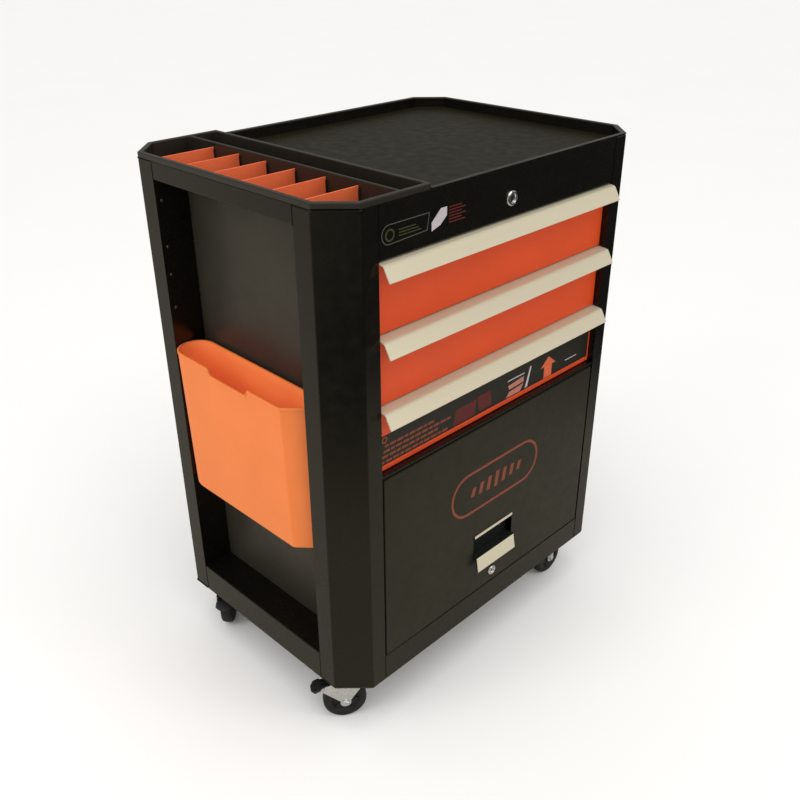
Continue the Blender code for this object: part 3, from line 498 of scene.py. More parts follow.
# -------------------- side bin
BIN_LOW, BIN_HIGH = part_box("side_bin")
BIN_DEPTH = 61.5 * MM              # from the outer wall to the inner one, at the rim
BIN_WALL = 2.5 * MM
BIN_CUT, BIN_CORNER = 30 * MM, 5 * MM
BIN_DRAFT = 7 * MM                 # how far the outer wall leans in at the foot
BIN_FILLET = 7 * MM                # around the foot
BIN_FALL = 5 * MM                  # from the rear of the rim to its front
SCOOP_MIDDLE = BIN_LOW.y + 154.5 * MM
SCOOP_HALF, SCOOP_FLAT, SCOOP_DEPTH = 51.5 * MM, 43.5 * MM, 11 * MM
SCOOP_REACH = 12 * MM              # from the outer wall, so that the inner wall stays whole
BIN_HEIGHTS = (0.08, 0.16, 0.3, 0.5, 0.7, 0.85, 0.94, 0.985)    # shares of a wall's height
# Over the rim from the outside in: millimetres inward from the plan, and down from the top.
BIN_RIM = ((-0.9, 4.2), (-1.1, 1.0), (-0.4, 0.1), (1.25, 0.0), (2.2, 0.25), (2.5, 1.2))
FILLET_STEPS = 5
NEARLY_STRAIGHT = math.radians(88) # half the angle between two stretches of an outline


def corner_arc(centre, radius, first, last, steps):
    """Points on an arc, its angles in degrees."""
    angles = [math.radians(first + (last - first) * k / steps) for k in range(steps + 1)]
    return [Vector((centre[0] + radius * math.cos(a), centre[1] + radius * math.sin(a)))
            for a in angles]


def rounded_path(points, radius, steps=6):
    """A polyline with each inner corner replaced by an arc."""
    path = [Vector(points[0])]
    for before, corner, after in zip(points, points[1:], points[2:]):
        before, corner, after = Vector(before), Vector(corner), Vector(after)
        a, b = (before - corner).normalized(), (after - corner).normalized()
        half = math.acos(max(-1, min(1, a.dot(b)))) / 2
        if half > NEARLY_STRAIGHT:
            path.append(corner)
            continue
        shorter = min((before - corner).length, (after - corner).length)
        reach = min(radius / math.tan(half), FACE_SHARE * shorter)
        start, end = corner + a * reach, corner + b * reach
        for t in (k / steps for k in range(steps + 1)):
            path.append((1 - t) ** 2 * start + 2 * t * (1 - t) * corner + t ** 2 * end)
    path.append(Vector(points[-1]))
    return path


def bin_plan():
    """The rim's outline: cut and rounded in front, half round behind. Its long sides are
    divided, so that the scoop and the fall of the rim have points to bend at."""
    outer, front, rear = BIN_LOW.x, BIN_LOW.y, BIN_HIGH.y
    inner, radius = outer + BIN_DEPTH, BIN_DEPTH / 2
    run_out, pitch, pieces = 20 * MM, 24 * MM, 80
    corners = [Vector((outer, front + BIN_CUT + run_out)), Vector((outer, front + BIN_CUT)),
               Vector((outer + BIN_CUT, front)), Vector((inner, front)),
               Vector((inner, front + run_out))]
    points = rounded_path(corners, BIN_CORNER, 4)
    points += [Vector((inner, front + run_out + k * pitch)) for k in range(1, 10)]
    points += corner_arc((outer + radius, rear - radius), radius, 0, 180, 20)
    start, end = points[-1].y, points[0].y
    points += [Vector((outer, start + (end - start) * k / pieces)) for k in range(1, pieces)]
    return points


def bin_rim_height(point):
    """The rim falls toward the front, and is scooped along the outer wall."""
    height = BIN_HIGH.z - BIN_FALL * (BIN_HIGH.y - point.y) / (BIN_HIGH.y - BIN_LOW.y)
    if point.x > BIN_LOW.x + SCOOP_REACH:
        return height
    k = (SCOOP_HALF - abs(point.y - SCOOP_MIDDLE)) / (SCOOP_HALF - SCOOP_FLAT)
    k = min(max(k, 0.0), 1.0)
    return height - SCOOP_DEPTH * k * k * (3 - 2 * k)


def make_side_bin():
    """A thin-walled moulding with a draft, a rounded foot and a rolled rim."""
    plan = bin_plan()
    count = len(plan)
    normals = []
    for k in range(count):
        along = (plan[(k + 1) % count] - plan[k - 1]).normalized()
        normals.append(Vector((-along.y, along.x)))
    bm = bmesh.new()
    rings = []

    def add_ring(share, inset, drop=0.0, rise=None):
        """A ring at a share of the wall's height, or at rise above the foot."""
        ring = []
        for point, normal in zip(plan, normals):
            tall = bin_rim_height(point) - BIN_LOW.z
            up = share * tall - drop if rise is None else rise
            lean = BIN_DRAFT * (1 - share) * (BIN_LOW.x + BIN_DEPTH - point.x) / BIN_DEPTH
            at = point + normal * inset
            ring.append(bm.verts.new((at.x + lean, at.y, BIN_LOW.z + up)))
        rings.append(ring)

    turns = [math.radians(90 * step / FILLET_STEPS) for step in range(FILLET_STEPS + 1)]
    for turn in turns:
        add_ring(0.0, BIN_FILLET * (1 - math.sin(turn)), rise=BIN_FILLET * (1 - math.cos(turn)))
    for share in BIN_HEIGHTS:
        add_ring(share, 0.0)
    for inset, drop in BIN_RIM:
        add_ring(1.0, inset * MM, drop * MM)
    outside = len(rings) - 1
    for share in reversed(BIN_HEIGHTS[:-1]):
        add_ring(share, BIN_WALL)
    for turn in reversed(turns):
        add_ring(0.0, BIN_FILLET * (1 - math.sin(turn)) + BIN_WALL,
                 rise=BIN_WALL + 0.9 * BIN_FILLET * (1 - math.cos(turn)))
    for number, (lower, upper) in enumerate(zip(rings, rings[1:])):
        for k in range(count):
            j = (k + 1) % count
            face = bm.faces.new((lower[k], lower[j], upper[j], upper[k]))
            # The inner faces and the inner floor take the lighter, glowing copy: painted light.
            face.material_index = 1 if number >= outside else 0
    bm.faces.new(reversed(rings[0]))
    bm.faces.new(rings[-1]).material_index = 1
    build("side_bin_look", bm, [BIN_ORANGE, BIN_INSIDE], "cabinet", "bin_orange", ["side_bin"],
          sharp=50)
    make_bin_hook()


def make_bin_hook():
    """The lip that hangs the bin on the niche's wall."""
    thick, bite = 3 * MM, 1 * MM
    inner = BIN_LOW.x + BIN_DEPTH
    size = (BIN_HIGH.x - inner + bite, BIN_HIGH.y - BIN_LOW.y - 68 * MM, thick)
    bm = block((inner - bite, BIN_LOW.y + 30 * MM, BIN_HIGH.z - 14 * MM), size)
    hook = build("bin_hook", bm, BIN_ORANGE, "cabinet", "bin_orange")
    ease(hook, 0.8 * MM)


# -------------------- extruded pulls
PULL_SHEET, PULL_BEND = 2 * MM, 7 * MM
NOSE_REACH, NOSE_DROP = 7.2 * MM, 2.0 * MM      # where the pull's top turns down
TIP_IN, TIP_UP = 0.6 * MM, 1.0 * MM


def extruded(bm, corners, reach):
    """A face through the corners, and its copy drawn out by reach."""
    face = bm.faces.new([bm.verts.new(corner) for corner in corners])
    drawn = bmesh.ops.extrude_face_region(bm, geom=[face], use_keep_orig=True)["geom"]
    moved = [item for item in drawn if isinstance(item, bmesh.types.BMVert)]
    bmesh.ops.translate(bm, vec=reach, verts=moved)
    return bm


def strip_outline(path, thickness, tip_steps=5):
    """Both faces of a bent strip and its rounded tip; the metal lies left of the path."""
    top, under = [], []
    for k, point in enumerate(path):
        along = (path[min(k + 1, len(path) - 1)] - path[max(k - 1, 0)]).normalized()
        left = Vector((-along.y, along.x))
        top.append(point)
        under.append(point + left * thickness)
    half = thickness / 2           # along and left are the tip's from here on
    centre = path[-1] + (left - along) * half
    turns = [math.pi * k / tip_steps for k in range(1, tip_steps)]
    tip = [centre + (along * math.sin(turn) - left * math.cos(turn)) * half for turn in turns]
    top[-1] = top[-1] - along * half
    under[-1] = under[-1] - along * half
    return top + tip + under[::-1]


def make_handles():
    for index in (1, 2, 3):
        node = f"drawer_{index}_handle"
        (x0, tip_y, tip_z), (x1, root_y, top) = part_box(node)
        face_y = low(f"drawer_{index}_front").y
        path = [(root_y, top), (face_y, top), (FRONT - NOSE_REACH, top - NOSE_DROP),
                (tip_y + TIP_IN, tip_z + TIP_UP)]
        outline = strip_outline(rounded_path(path, PULL_BEND), PULL_SHEET)
        bm = extruded(bmesh.new(), [(x0, p.x, p.y) for p in outline], (x1 - x0, 0, 0))
        piece = build(node + "_look", bm, CHAMPAGNE, BODY_OF[node], SLOT_OF[node], [node],
                      sharp=40)
        ease(piece, 0.3 * MM, angle=40)


# -------------------- turned pieces
def scaled(unit, *pairs):
    """Pairs of numbers, each times unit."""
    return [(a * unit, b * unit) for a, b in pairs]


def turned(profile, place, axis, segments=48, wobble=None, bm=None):
    """A (radius, height) profile turned about an axis; radius 0 closes on the axis."""
    bm = bm or bmesh.new()
    turn = Vector(axis).to_track_quat("Z", "Y").to_matrix().to_4x4()
    matrix = Matrix.Translation(place) @ turn
    rings = []
    for row, (radius, height) in enumerate(profile):
        if radius == 0:
            rings.append([bm.verts.new(matrix @ Vector((0, 0, height)))])
            continue
        ring = []
        for k in range(segments):
            angle = 2 * math.pi * k / segments
            r = wobble(row, angle, radius) if wobble else radius
            spot = Vector((r * math.cos(angle), r * math.sin(angle), height))
            ring.append(bm.verts.new(matrix @ spot))
        rings.append(ring)
    for a, b in zip(rings, rings[1:]):
        for k in range(segments):
            j = (k + 1) % segments
            if len(a) == 1 and len(b) > 1:
                bm.faces.new((a[0], b[k], b[j]))
            elif len(b) == 1 and len(a) > 1:
                bm.faces.new((a[k], b[0], a[j]))
            elif len(a) > 1:
                bm.faces.new((a[k], b[k], b[j], a[j]))
    return bm


def screw_head(bm, place, axis, radius):
    """A pan head with a six-lobed drive; its profile is in parts of its radius."""
    drive_row, lobe_depth = 5, 0.16

    def lobes(row, angle, r):
        return r * (1 + lobe_depth * math.cos(6 * angle)) if row >= drive_row else r

    profile = scaled(radius, (0.98, 0), (1, 0.12), (0.93, 0.32), (0.72, 0.48), (0.50, 0.55),
                     (0.42, 0.56), (0.38, 0.50), (0.34, 0.18), (0, 0.16))
    turned(profile, place, axis, 24, lobes, bm)


def rivet_head(bm, place, axis, radius):
    """A blind rivet's head around its sunken pin, in parts of its radius."""
    profile = scaled(radius, (1, 0), (0.97, 0.12), (0.8, 0.34), (0.45, 0.48), (0.30, 0.47),
                     (0.28, 0.36), (0, 0.36))
    turned(profile, place, axis, 20, bm=bm)


def make_heads(name, head, places, axis, radius, look):
    """Many heads of one size as one piece."""
    bm = bmesh.new()
    for place in places:
        head(bm, Vector(place), axis, radius)
    build(name, bm, look, "cabinet", "zinc")


def make_fasteners():
    """Four screws down the niche's rear return, and two rows of rivets up the back."""
    corner = low("rear_left_post")
    rises = (738, 666, 621, 566)
    places = [(corner.x + 10 * MM, corner.y, GROUND + rise * MM) for rise in rises]
    make_heads("niche_screws", screw_head, places, (0, -1, 0), 2.6 * MM, DULL_ZINC)
    aside, lowest, pitch = 262 * MM, 48 * MM, 140 * MM
    places = [(MIDDLE + side * aside, REAR, GROUND + lowest + k * pitch)
              for side in (-1, 1) for k in range(6)]
    make_heads("back_rivets", rivet_head, places, (0, 1, 0), 2.4 * MM, ZINC)


# -------------------- locks
BACKWARD = (0, 1, 0)               # a lock's heights run from the sheet into the cabinet


def bezel(name, place, outer, bore, body, stands_for=()):
    """A rolled chrome ring, its flange in front of the sheet; radii in millimetres."""
    profile = scaled(MM, (bore, 1.0), (bore, -2.8), (bore + 0.5, -3.4), (bore + 1.1, -3.5),
                     (outer - 1.6, -3.4), (outer - 0.6, -2.7), (outer, -1.4), (outer, -0.3),
                     (outer - 0.4, -0.1), (bore, 1.0))
    bm = turned(profile, place, BACKWARD, 56)
    build(name, bm, CHROME, body, "chrome", stands_for, sharp=60)


def plug_face(name, place, radius, front, body, stands_for):
    """The plug, a dished face with the keyway let into it as a near-black slab, painted shade;
    sizes in millimetres.
    """
    length = 18
    profile = scaled(MM, (0, front + 0.5), (radius * 0.55, front + 0.45),
                     (radius * 0.86, front + 0.1), (radius * 0.97, front + 0.2),
                     (radius, front + 0.6), (radius, length), (0, length))
    bm = turned(profile, place, BACKWARD)
    build(name, bm, CHROME, body, "chrome", stands_for, sharp=50)
    # The keyway is a near-black slab in the plug's face: painted shade where the slot's hollow
    # would be.
    w, h = 0.9, 3.6
    steps = scaled(MM, (-w, -h), (w, -h), (w, -h * 0.2), (w * 2.0, 0), (w, h * 0.3), (w, h),
                   (-w, h), (-w, h * 0.1), (-w * 1.6, -h * 0.25), (-w, -h * 0.5))
    y = place.y + (front + 0.30) * MM
    bm = extruded(bmesh.new(), [(place.x + u, y, place.z + v) for u, v in steps], (0, 1 * MM, 0))
    build(name + "_keyway", bm, DARK, body, "chrome")


def cam_arm(name, low_corner, high_corner, body):
    """A flat arm with round ends that fills a box."""
    size = Vector(high_corner) - Vector(low_corner)
    end = size.z / 2
    outline = corner_arc((low_corner[0] + end, low_corner[2] + end), end, 90, 270, 8)
    outline += corner_arc((high_corner[0] - end, low_corner[2] + end), end, -90, 90, 8)
    bm = extruded(bmesh.new(), [(p.x, low_corner[1], p.y) for p in outline], (0, size.y, 0))
    ease(build(name, bm, ZINC, body, "zinc"), 0.3 * MM)


def make_drawer_lock():
    lock = Vector(JOINTS["drawer_lock_turn"]["pos_m"])
    crank = Vector((JOINTS["lock_bar_travel"]["range_m"][1], 0, 0))
    bore, sleeve, length = 6.7, 9.4, 17.5
    bezel("drawer_lock_bezel", lock, 11.5, bore, "cabinet", ["drawer_lock_barrel"])
    tube = scaled(MM, (bore, -1), (sleeve, -1), (sleeve, length), (bore, length), (bore, -1))
    bm = turned(tube, lock, BACKWARD, 40)
    build("drawer_lock_sleeve", bm, ZINC, "cabinet", "chrome")
    plug_face("drawer_lock_core", lock, 6.3, -1.6, "drawer_lock", ["drawer_lock_plug"])
    cam_arm("drawer_lock_cam", lock + Vector((-5, 20.5, -5)) * MM,
            lock + crank + Vector((4, 22.8, 5)) * MM, "drawer_lock")
    pin = scaled(MM, (0, 21.5), (2, 21.5), (2, 30.5), (1.5, 31), (0, 31))
    bm = turned(pin, lock + crank, BACKWARD, 20)
    build("drawer_lock_pin", bm, ZINC, "drawer_lock", "zinc")


def make_door_lock():
    lock = Vector(JOINTS["door_lock_turn"]["pos_m"])
    tip = high("door_lock_plug")
    half = 6 * MM
    bezel("door_lock_bezel", lock, 9.5, 6.0, "door_lock")
    plug_face("door_lock_core", lock, 5.8, -1.4, "door_lock", ["door_lock_plug"])
    cam_arm("door_lock_cam", (lock.x - half, tip.y - 2.2 * MM, lock.z - half),
            (tip.x, tip.y, lock.z + half), "door_lock")


# -------------------- casters
# Millimetres: half a wheel, from its bore out, as radius and distance aside; and a fork's
# race, as radius and height from the fork's top.
TREAD = ((4.6, 10.9), (8.6, 10.9), (9.4, 10.3), (10.0, 8.0), (21.0, 7.4), (22.6, 8.6),
         (23.4, 10.4), (24.6, 10.8), (31.5, 10.9), (34.4, 10.0), (36.4, 7.8), (37.3, 4.6),
         (37.5, 1.6))
RACE = ((17.2, -8.3), (20.5, -8.3), (21.6, -7.4), (22.2, -5.6), (21.6, -4.6), (20.4, -3.8),
        (20.2, -3.0), (20.8, -2.2), (20.6, -1.2), (19.6, -0.4), (17.2, -0.2))
SPOKES = 5
SPOKE_ROOT, SPOKE_ASIDE = 9.3, 8.2              # where a spoke starts, and its middle aside
SPOKE_LENGTH, SPOKE_HALF, SPOKE_DEPTH = 12.6, 1.6, 2.2
AXLE_HALF = 14.9 * MM
PADDLE = 54 * MM                   # from the pedal's hinge to where its pad droops
ARM_SLOPE, PAD_SLOPE = 8, 24       # degrees below level


def joint_line(name):
    """A joint's place and its direction."""
    return Vector(JOINTS[name]["pos_m"]), Vector(JOINTS[name]["axis"]).normalized()


def make_wheel(node, centre, axis):
    """A rubber tyre on a dished hub, with a rounded tread and a hub spoked on both sides."""
    half = scaled(MM, *TREAD)
    profile = [(r, -aside) for r, aside in half] + half[::-1]
    bm = turned(profile + profile[:1], centre, axis, 64)
    build(node + "_look", bm, RUBBER, BODY_OF[node], SLOT_OF[node], [node], sharp=50)
    matrix = Matrix.Translation(centre) @ axis.to_track_quat("Z", "Y").to_matrix().to_4x4()
    size = Vector((SPOKE_LENGTH, 2 * SPOKE_HALF, SPOKE_DEPTH)) * MM
    bm = bmesh.new()
    for number in range(SPOKES):
        turn = matrix @ Matrix.Rotation(2 * math.pi * number / SPOKES, 4, "Z")
        for side in (-1, 1):
            corner = Vector((SPOKE_ROOT, -SPOKE_HALF, side * SPOKE_ASIDE - SPOKE_DEPTH / 2))
            block(corner * MM, size, bm, turn)
    spokes = build(node + "_spokes", bm, NYLON, BODY_OF[node], SLOT_OF[node])
    ease(spokes, 0.6 * MM)


def hex_nut(bm, place, axis, across, height):
    """A nut with its washer face and chamfered corners."""
    washer_rows, chamfered_rows = 3, (3, 6)

    def six(row, angle, r):
        if row < washer_rows:
            return r
        step = math.pi / 3
        local = (angle + step / 2) % step - step / 2
        flat = r * math.cos(math.pi / 6) / math.cos(local)
        return min(flat, r * (0.985 if row in chamfered_rows else 1.0))

    r = across / math.sqrt(3)
    profile = [(r * 1.25, 0), (r * 1.25, 0.6 * MM), (r * 0.95, 0.65 * MM), (r * 0.95, 0.7 * MM),
               (r, 1.0 * MM), (r, height - 0.4 * MM), (r * 0.93, height), (0, height)]
    turned(profile, place, axis, 36, six, bm)


def make_casters():
    for node in ("front_left_caster_plate", "rear_left_caster_plate"):
        refined(node, 0.5 * MM, 2.4 * MM, 0.4 * MM)
    for corner in ("front_left", "rear_left", "front_right", "rear_right"):
        fork = corner + "_fork"
        refined(fork, 1.0 * MM, PLATE, 0.45 * MM)
        centre, axis = joint_line(corner + "_wheel_roll")
        make_wheel(corner + "_wheel", centre, axis)
        bm = bmesh.new()
        for side in (-1, 1):
            hex_nut(bm, centre + axis * side * AXLE_HALF, axis * side, 9 * MM, 3.6 * MM)
        build(corner + "_axle_nuts", bm, ZINC, BODY_OF[fork], "zinc", sharp=25)
    for corner in ("front_left", "rear_left"):
        place = joint_line(corner + "_swivel")[0]
        place.z = high(corner + "_fork").z
        bm = turned(scaled(MM, *RACE), place, (0, 0, 1), 56)
        build(corner + "_race_look", bm, ZINC, corner + "_caster", "zinc", sharp=50)
        make_pedal(corner)


def make_pedal(corner):
    """The brake pedal's plate with raised edges and grip ribs on its pad."""
    node = corner + "_brake_pedal"
    refined(node, 1.2 * MM, 1.0 * MM, 0.9 * MM)
    hinge, across = joint_line(corner + "_brake_press")
    trail = (middle(node) - hinge) * Vector((1, 1, 0))
    trail.normalize()

    def pitched(degrees):
        slope = math.radians(degrees)
        return (trail * math.cos(slope) - Vector((0, 0, math.sin(slope)))).normalized()

    root, along = hinge + pitched(ARM_SLOPE) * PADDLE, pitched(PAD_SLOPE)
    up = across.cross(along)
    if up.z < 0:
        up = -up
    size = Vector((1.5, 23, 1.2)) * MM
    first, pitch, rise = 4.5 * MM, 3.8 * MM, 2.3 * MM
    bm = bmesh.new()
    for number in range(3):
        at = root + along * (first + number * pitch) + up * rise
        turn = Matrix.Translation(at) @ Matrix((along, across, up)).transposed().to_4x4()
        block(-size / 2, size, bm, turn)
    ribs = build(corner + "_pedal_ribs", bm, NYLON, BODY_OF[node], SLOT_OF[node])
    ease(ribs, 0.4 * MM)


def make_door_rollers():
    """Each roller with its pin; the disc is the outer 7 mm, and sizes are in millimetres."""
    for side, sign in (("left", -1), ("right", 1)):
        node = side + "_door_roller"
        span = high(node).x - low(node).x
        centre = middle(node) - Vector((sign * span / 2, 0, 0))
        end = span / MM
        disc = end - 7
        profile = scaled(MM, (0, 0), (2.4, 0), (3, 0.6), (3, disc), (6.6, disc),
                         (7.6, disc + 0.8), (8, disc + 2), (8, end - 2), (7.6, end - 0.8),
                         (6.6, end), (3.4, end), (3.2, end - 0.6), (0, end - 0.6))
        bm = turned(profile, centre, (sign, 0, 0), 40)
        build(node + "_look", bm, ZINC, BODY_OF[node], SLOT_OF[node], [node], sharp=50)


# -------------------- printed marks
# Marks are laid out in millimetres, to the right and up from an origin on the front.
FILM = 0.12 * MM                   # how far the ink stands proud


def placed(origin, *points):
    """Points in millimetres from an origin, as (x, z) in the frame."""
    return [(origin[0] + u * MM, origin[1] + v * MM) for u, v in points]


def rectangle(origin, left, foot, right, top, slant=0.0):
    return placed(origin, (left, foot), (right, foot), (right + slant, top), (left + slant, top))


def stadium(origin, middle_u, middle_v, half_length, radius, steps=16):
    points = []
    for sign, first in ((1, -90), (-1, 90)):
        centre = (middle_u + sign * (half_length - radius), middle_v)
        points += corner_arc(centre, radius, first, first + 180, steps)
    return placed(origin, *points)


def band(origin, u, v, half_length, radius, width):
    """The outer and the inner outline of a stadium's band."""
    return (stadium(origin, u, v, half_length, radius),
            stadium(origin, u, v, half_length - width, radius - width))


def flat_mark(bm, outline, y):
    """A thin film on a front face: outline in (x, z), standing proud of plane y."""
    extruded(bm, [(x, y - FILM, z) for x, z in outline], (0, FILM * 0.9, 0))


def ring_mark(bm, outer, inner, y):
    """The band between two outlines with the same number of points."""
    rows = [[bm.verts.new((x, y - depth, z)) for x, z in loop]
            for loop, depth in ((outer, FILM * 0.1), (outer, FILM), (inner, FILM),
                                (inner, FILM * 0.1))]
    for a, b in zip(rows, rows[1:] + rows[:1]):
        for k in range(len(a)):
            j = (k + 1) % len(a)
            bm.faces.new((a[k], a[j], b[j], b[k]))


def print_marks(name, look, node, bands=(), flats=(), over=0.0):
    """One ink's marks on a node: bands between two outlines, and flat outlines."""
    y = low(node).y - over
    bm = bmesh.new()
    for outer, inner in bands:
        ring_mark(bm, outer, inner, y)
    for outline in flats:
        flat_mark(bm, outline, y)
    build(name, bm, look, BODY_OF[node], SLOT_OF[node], sharp=40)


def make_door_badge():
    """A plain stadium outline around a row of slanted bars."""
    node = "door_skin"
    centre = (MIDDLE + 1 * MM, GROUND + 270 * MM)
    outline = band(centre, 0, 0, 114.5, 41.5, 5)
    print_marks("door_badge_outline", INK_RUST, node, bands=[outline])
    bars = []
    for k in range(7):
        left = -66 + k * 20
        tall = 15 - 2.2 * abs(k - 3)
        bars.append(rectangle(centre, left, -tall, left + 9, tall, slant=5))
    print_marks("door_badge_bars", INK_RUST, node, flats=bars)


def plate_outline(centre, inset):
    """Round at its left end, with a slanted right end."""
    radius = 13.5 - inset
    points = corner_arc((-21.5, 0), radius, 90, 270, 16)
    points += [Vector((50 - inset, 3 - radius)), Vector((54 - inset, radius))]
    return placed(centre, *points)


def make_fascia_marks():
    """A small outlined plate, a pale cut panel and six red lines, left of the lock."""
    node = "front_fascia"
    centre = (MIDDLE - 227 * MM, GROUND + 755 * MM)
    rim = (plate_outline(centre, 0.0), plate_outline(centre, 1.2))
    print_marks("fascia_plate_rim", INK_GREY, node, bands=[rim])
    lines = [rectangle(centre, -4, k * 4 - 6, 38 - 5 * k, k * 4 - 4.4) for k in range(3)]
    ring = band(centre, -20, -1, 8.5, 8.5, 2.5)
    print_marks("fascia_plate_centre", INK_OLIVE, node, bands=[ring], flats=lines)
    panel = placed(centre, (58, -14), (75, -9), (88, 2), (88, 14), (76, 14), (58, -2))
    print_marks("fascia_panel", INK_PALE, node, flats=[panel])
    lines = [rectangle(centre, 92, k * 4.2 - 10, 126 - 8 * (k % 2), k * 4.2 - 8.2)
             for k in range(6)]
    print_marks("fascia_lines", INK_RED, node, flats=lines)


LABEL_STRIPE, LABEL_BORDER = 8.5, 4             # orange left bare below and beside the field
LABEL_ROWS = (134, 116, 140, 102)               # how far each row of bars runs


def label_bars(field):
    """Rows of slanted bars where the label has words, each row starting further right."""
    row_pitch, bar_height, word_gap, slant = 8.6, 4.2, 2.2, 0.8
    bars = []
    for row, width in enumerate(LABEL_ROWS):
        foot, left = 3.2 + row * row_pitch, 5 + 3 * row
        end, number = left + width, row
        while left < end:
            word = 8 + 5 * (number * number % 3)
            bars.append(rectangle(field, left, foot, left + word, foot + bar_height, slant))
            left += word + word_gap
            number += 1
    return bars


def make_drawer_label():
    """The instruction label on the lowest drawer: a dark field over an orange stripe, with
    bars instead of words, blank pictures and an arrow that points up."""
    node = "drawer_3_front"
    corner, far, margin, bare = low(node), high(node), 1 * MM, 44 * MM
    field = (corner.x + margin, corner.z + margin + LABEL_STRIPE * MM)
    width, height = (far.x - margin - field[0]) / MM, (far.z - bare - field[1]) / MM
    dark = rectangle(field, 0, 0, width - LABEL_BORDER, height - 1.5)
    print_marks("label_field", INK_BLACK, node, flats=[dark])

    ring = band(field, 14, height - 9, 6, 6, 3)
    print_marks("label_bars", INK_RUST, node, [ring], label_bars(field), FILM)
    foot, shoulder, tip, shaft, head = 1, 23, 40, 11, 21
    arrow = placed((field[0] + 408 * MM, field[1]), (-shaft, foot), (shaft, foot),
                   (shaft, shoulder), (head, shoulder), (0, tip), (-head, shoulder),
                   (-shaft, shoulder))
    top_line = rectangle(field, 30, height - 1.2, 300, height)
    print_marks("label_arrow", INK_ORANGE, node, flats=[arrow, top_line], over=FILM)

    picture = (field[0] + 290 * MM, field[1] + 2 * MM)
    tinted = [placed(picture, (4, 0), (42, 0), (50, 12), (12, 9)),
              placed(picture, (12, 13), (50, 15), (50, 25), (8, 21))]
    print_marks("label_picture_tinted", INK_BLUSH, node, flats=tinted, over=FILM)
    pale = [placed(picture, (54, 0), (61, 2), (70, 37), (66, 37)),
            rectangle(picture, 6, 29, 50, 31, slant=2),
            rectangle(field, width - 72, 14, width - 38, 15.6)]
    print_marks("label_picture_pale", INK_PALE, node, flats=pale, over=FILM)
    dim = [rectangle(field, 163, 3, 213, 30, slant=6), rectangle(field, 225, 5, 257, 33, slant=-5)]
    print_marks("label_picture_dim", INK_RED, node, flats=dim, over=FILM)


# -------------------- studio
FLOOR_RADIUS = 45
NEAR, FAR = 0.95, 1.50             # metres; where mirror-like rays find the floor bright, dark
LEFT_DARK, LEFT_BRIGHT = 0.2, 0.7  # metres leftward, between dark and bright as above
BRIGHT_FLOOR, DARK_FLOOR = (0.50, 0.475, 0.42, 1), (0.035, 0.035, 0.035, 1)
LEFTWARD = (-0.707, 0.707, 0)      # left in the photo
LENS, SENSOR = 40.297, 36.0        # millimetres
CAMERA_PLACE = (MIDDLE - 1.0187, -1.0108, 1.2112)
CAMERA_TURN = (61.6453, 0.2684, -45.4227)       # degrees
LAMP_TINT = (1.0, 0.985, 0.96)
AIM = Vector((MIDDLE, 0, 0.45))    # the middle of the chest


def far_from_chest(look):
    """0 near the chest or to its left, rising to 1 far from it on its other side."""
    place = look.coordinates()
    away = look.node("VectorMath")
    away.operation = "LENGTH"
    look.link(place, away.inputs[0])
    leftward = look.node("VectorMath")
    leftward.operation = "DOT_PRODUCT"
    leftward.inputs[1].default_value = LEFTWARD
    look.link(place, leftward.inputs[0])
    both = look.node("Math")
    both.operation = "MULTIPLY"
    look.link(look.spread(away.outputs["Value"], 0.0, 1.0, NEAR, FAR), both.inputs[0])
    look.link(look.spread(leftward.outputs["Value"], 1.0, 0.0, LEFT_DARK, LEFT_BRIGHT),
              both.inputs[1])
    return both.outputs["Value"]


def make_floor():
    """A wide pale floor. Mirror-like rays find it bright near the chest and to its left, as
    in a room whose far side is dark, so the front's glossy black paint stays black."""
    bm = bmesh.new()
    bmesh.ops.create_circle(bm, cap_ends=True, segments=64, radius=FLOOR_RADIUS)
    mesh = mesh_from("studio_floor", bm)
    floor = put_in("studio_floor", mesh)
    look = Finish("studio_paper", (0.94, 0.94, 0.935), 0.8, Specular_IOR_Level=0.05)
    look.vary_colour(look.noise(2, detail=3), 0.995, 1.005)
    paths = look.node("LightPath")
    share = far_from_chest(look)
    dim = look.node("BsdfDiffuse")
    shade = look.node("ValToRGB")
    shade.color_ramp.elements[0].color = BRIGHT_FLOOR
    shade.color_ramp.elements[1].color = DARK_FLOOR
    look.link(share, shade.inputs["Fac"])
    look.link(shade.outputs["Color"], dim.inputs["Color"])
    choose = look.node("MixShader")
    look.link(paths.outputs["Is Glossy Ray"], choose.inputs["Fac"])
    look.link(look.shader.outputs["BSDF"], choose.inputs[1])
    look.link(dim.outputs["BSDF"], choose.inputs[2])
    look.link(choose.outputs["Shader"], look.tree.nodes["Material Output"].inputs["Surface"])
    mesh.materials.append(look.material)


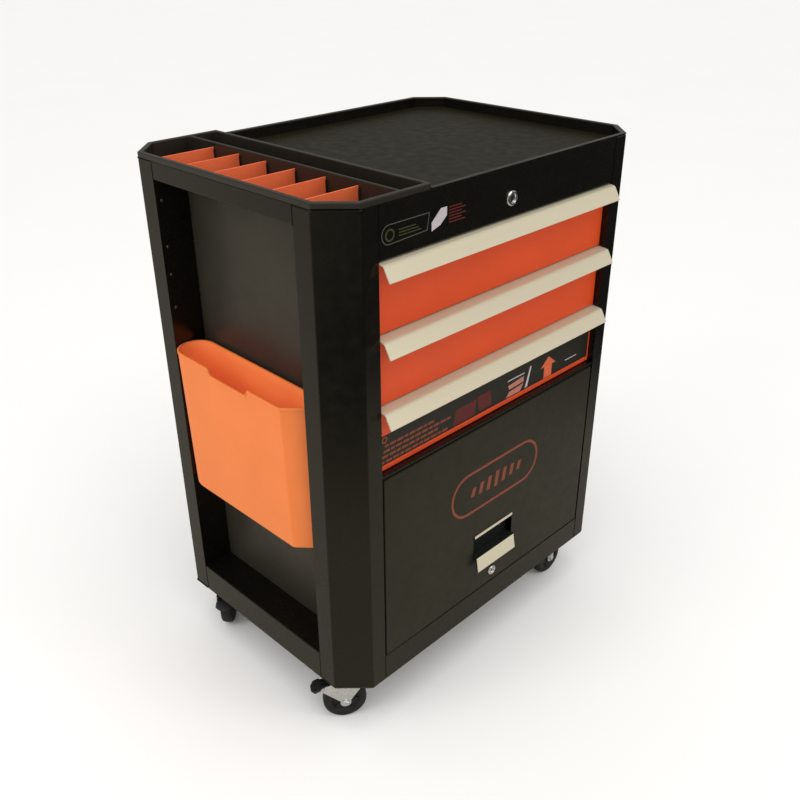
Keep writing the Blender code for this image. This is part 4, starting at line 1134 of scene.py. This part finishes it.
def make_world():
    """White all round: brightest where the camera sees it, dimmest to mirror-like rays."""
    world = bpy.data.worlds.new("studio")
    bpy.context.scene.world = world
    world.use_nodes = True
    tree = world.node_tree
    tree.nodes.remove(tree.nodes["Background"])
    paths = tree.nodes.new("ShaderNodeLightPath")
    seen = None
    for tint, strength, ray in (((1.0, 0.995, 0.985, 1.0), 0.62, None),
                                ((1.0, 0.98, 0.93, 1.0), 0.32, "Is Glossy Ray"),
                                ((1.0, 1.0, 1.0, 1.0), 0.93, "Is Camera Ray")):
        glow = with_values(tree.nodes.new("ShaderNodeBackground"), Color=tint, Strength=strength)
        if ray is None:
            seen = glow.outputs["Background"]
            continue
        choose = tree.nodes.new("ShaderNodeMixShader")
        tree.links.new(paths.outputs[ray], choose.inputs["Fac"])
        tree.links.new(seen, choose.inputs[1])
        tree.links.new(glow.outputs["Background"], choose.inputs[2])
        seen = choose.outputs["Shader"]
    tree.links.new(seen, tree.nodes["World Output"].inputs["Surface"])


def add_lamp(name, lamp, place, power, specular):
    """Put a lamp in its place, aimed at the chest."""
    lamp.energy = power
    lamp.color = LAMP_TINT
    lamp.specular_factor = specular
    made = put_in(name, lamp)
    made.location = place
    made.rotation_euler = (AIM - Vector(place)).to_track_quat("-Z", "Y").to_euler()


def add_sun(name, place, power, angle):
    lamp = bpy.data.lights.new(name, "SUN")
    lamp.angle = math.radians(angle)
    add_lamp(name, lamp, place, power, specular=0.0)


def add_panel(name, place, power, width):
    lamp = bpy.data.lights.new(name, "AREA")
    lamp.shape = "DISK"
    lamp.size = width
    add_lamp(name, lamp, place, power, specular=1.0)


def make_camera():
    lens = bpy.data.cameras.new("camera")
    lens.lens = LENS
    lens.sensor_width = SENSOR
    camera = put_in("camera", lens)
    camera.location = CAMERA_PLACE
    camera.rotation_euler = [math.radians(turn) for turn in CAMERA_TURN]
    bpy.context.scene.camera = camera
    bpy.context.scene.view_settings.view_transform = "Standard"


make_sheet_metal()
make_seam_fillers()
make_door_pull()
make_top_pan()
make_side_tray()
make_side_bin()
make_handles()
make_drawer_lock()
make_door_lock()
make_fasteners()
make_door_rollers()
make_casters()
make_door_badge()
make_fascia_marks()
make_drawer_label()
make_floor()
make_world()
add_sun("sky", (-0.5, -0.9, 3.0), 1.35, 70)
add_panel("left_panel", (-2.4, 0.4, 1.9), 14, 1.3)
add_panel("front_panel", (0.9, -2.6, 1.7), 10, 1.1)
make_camera()
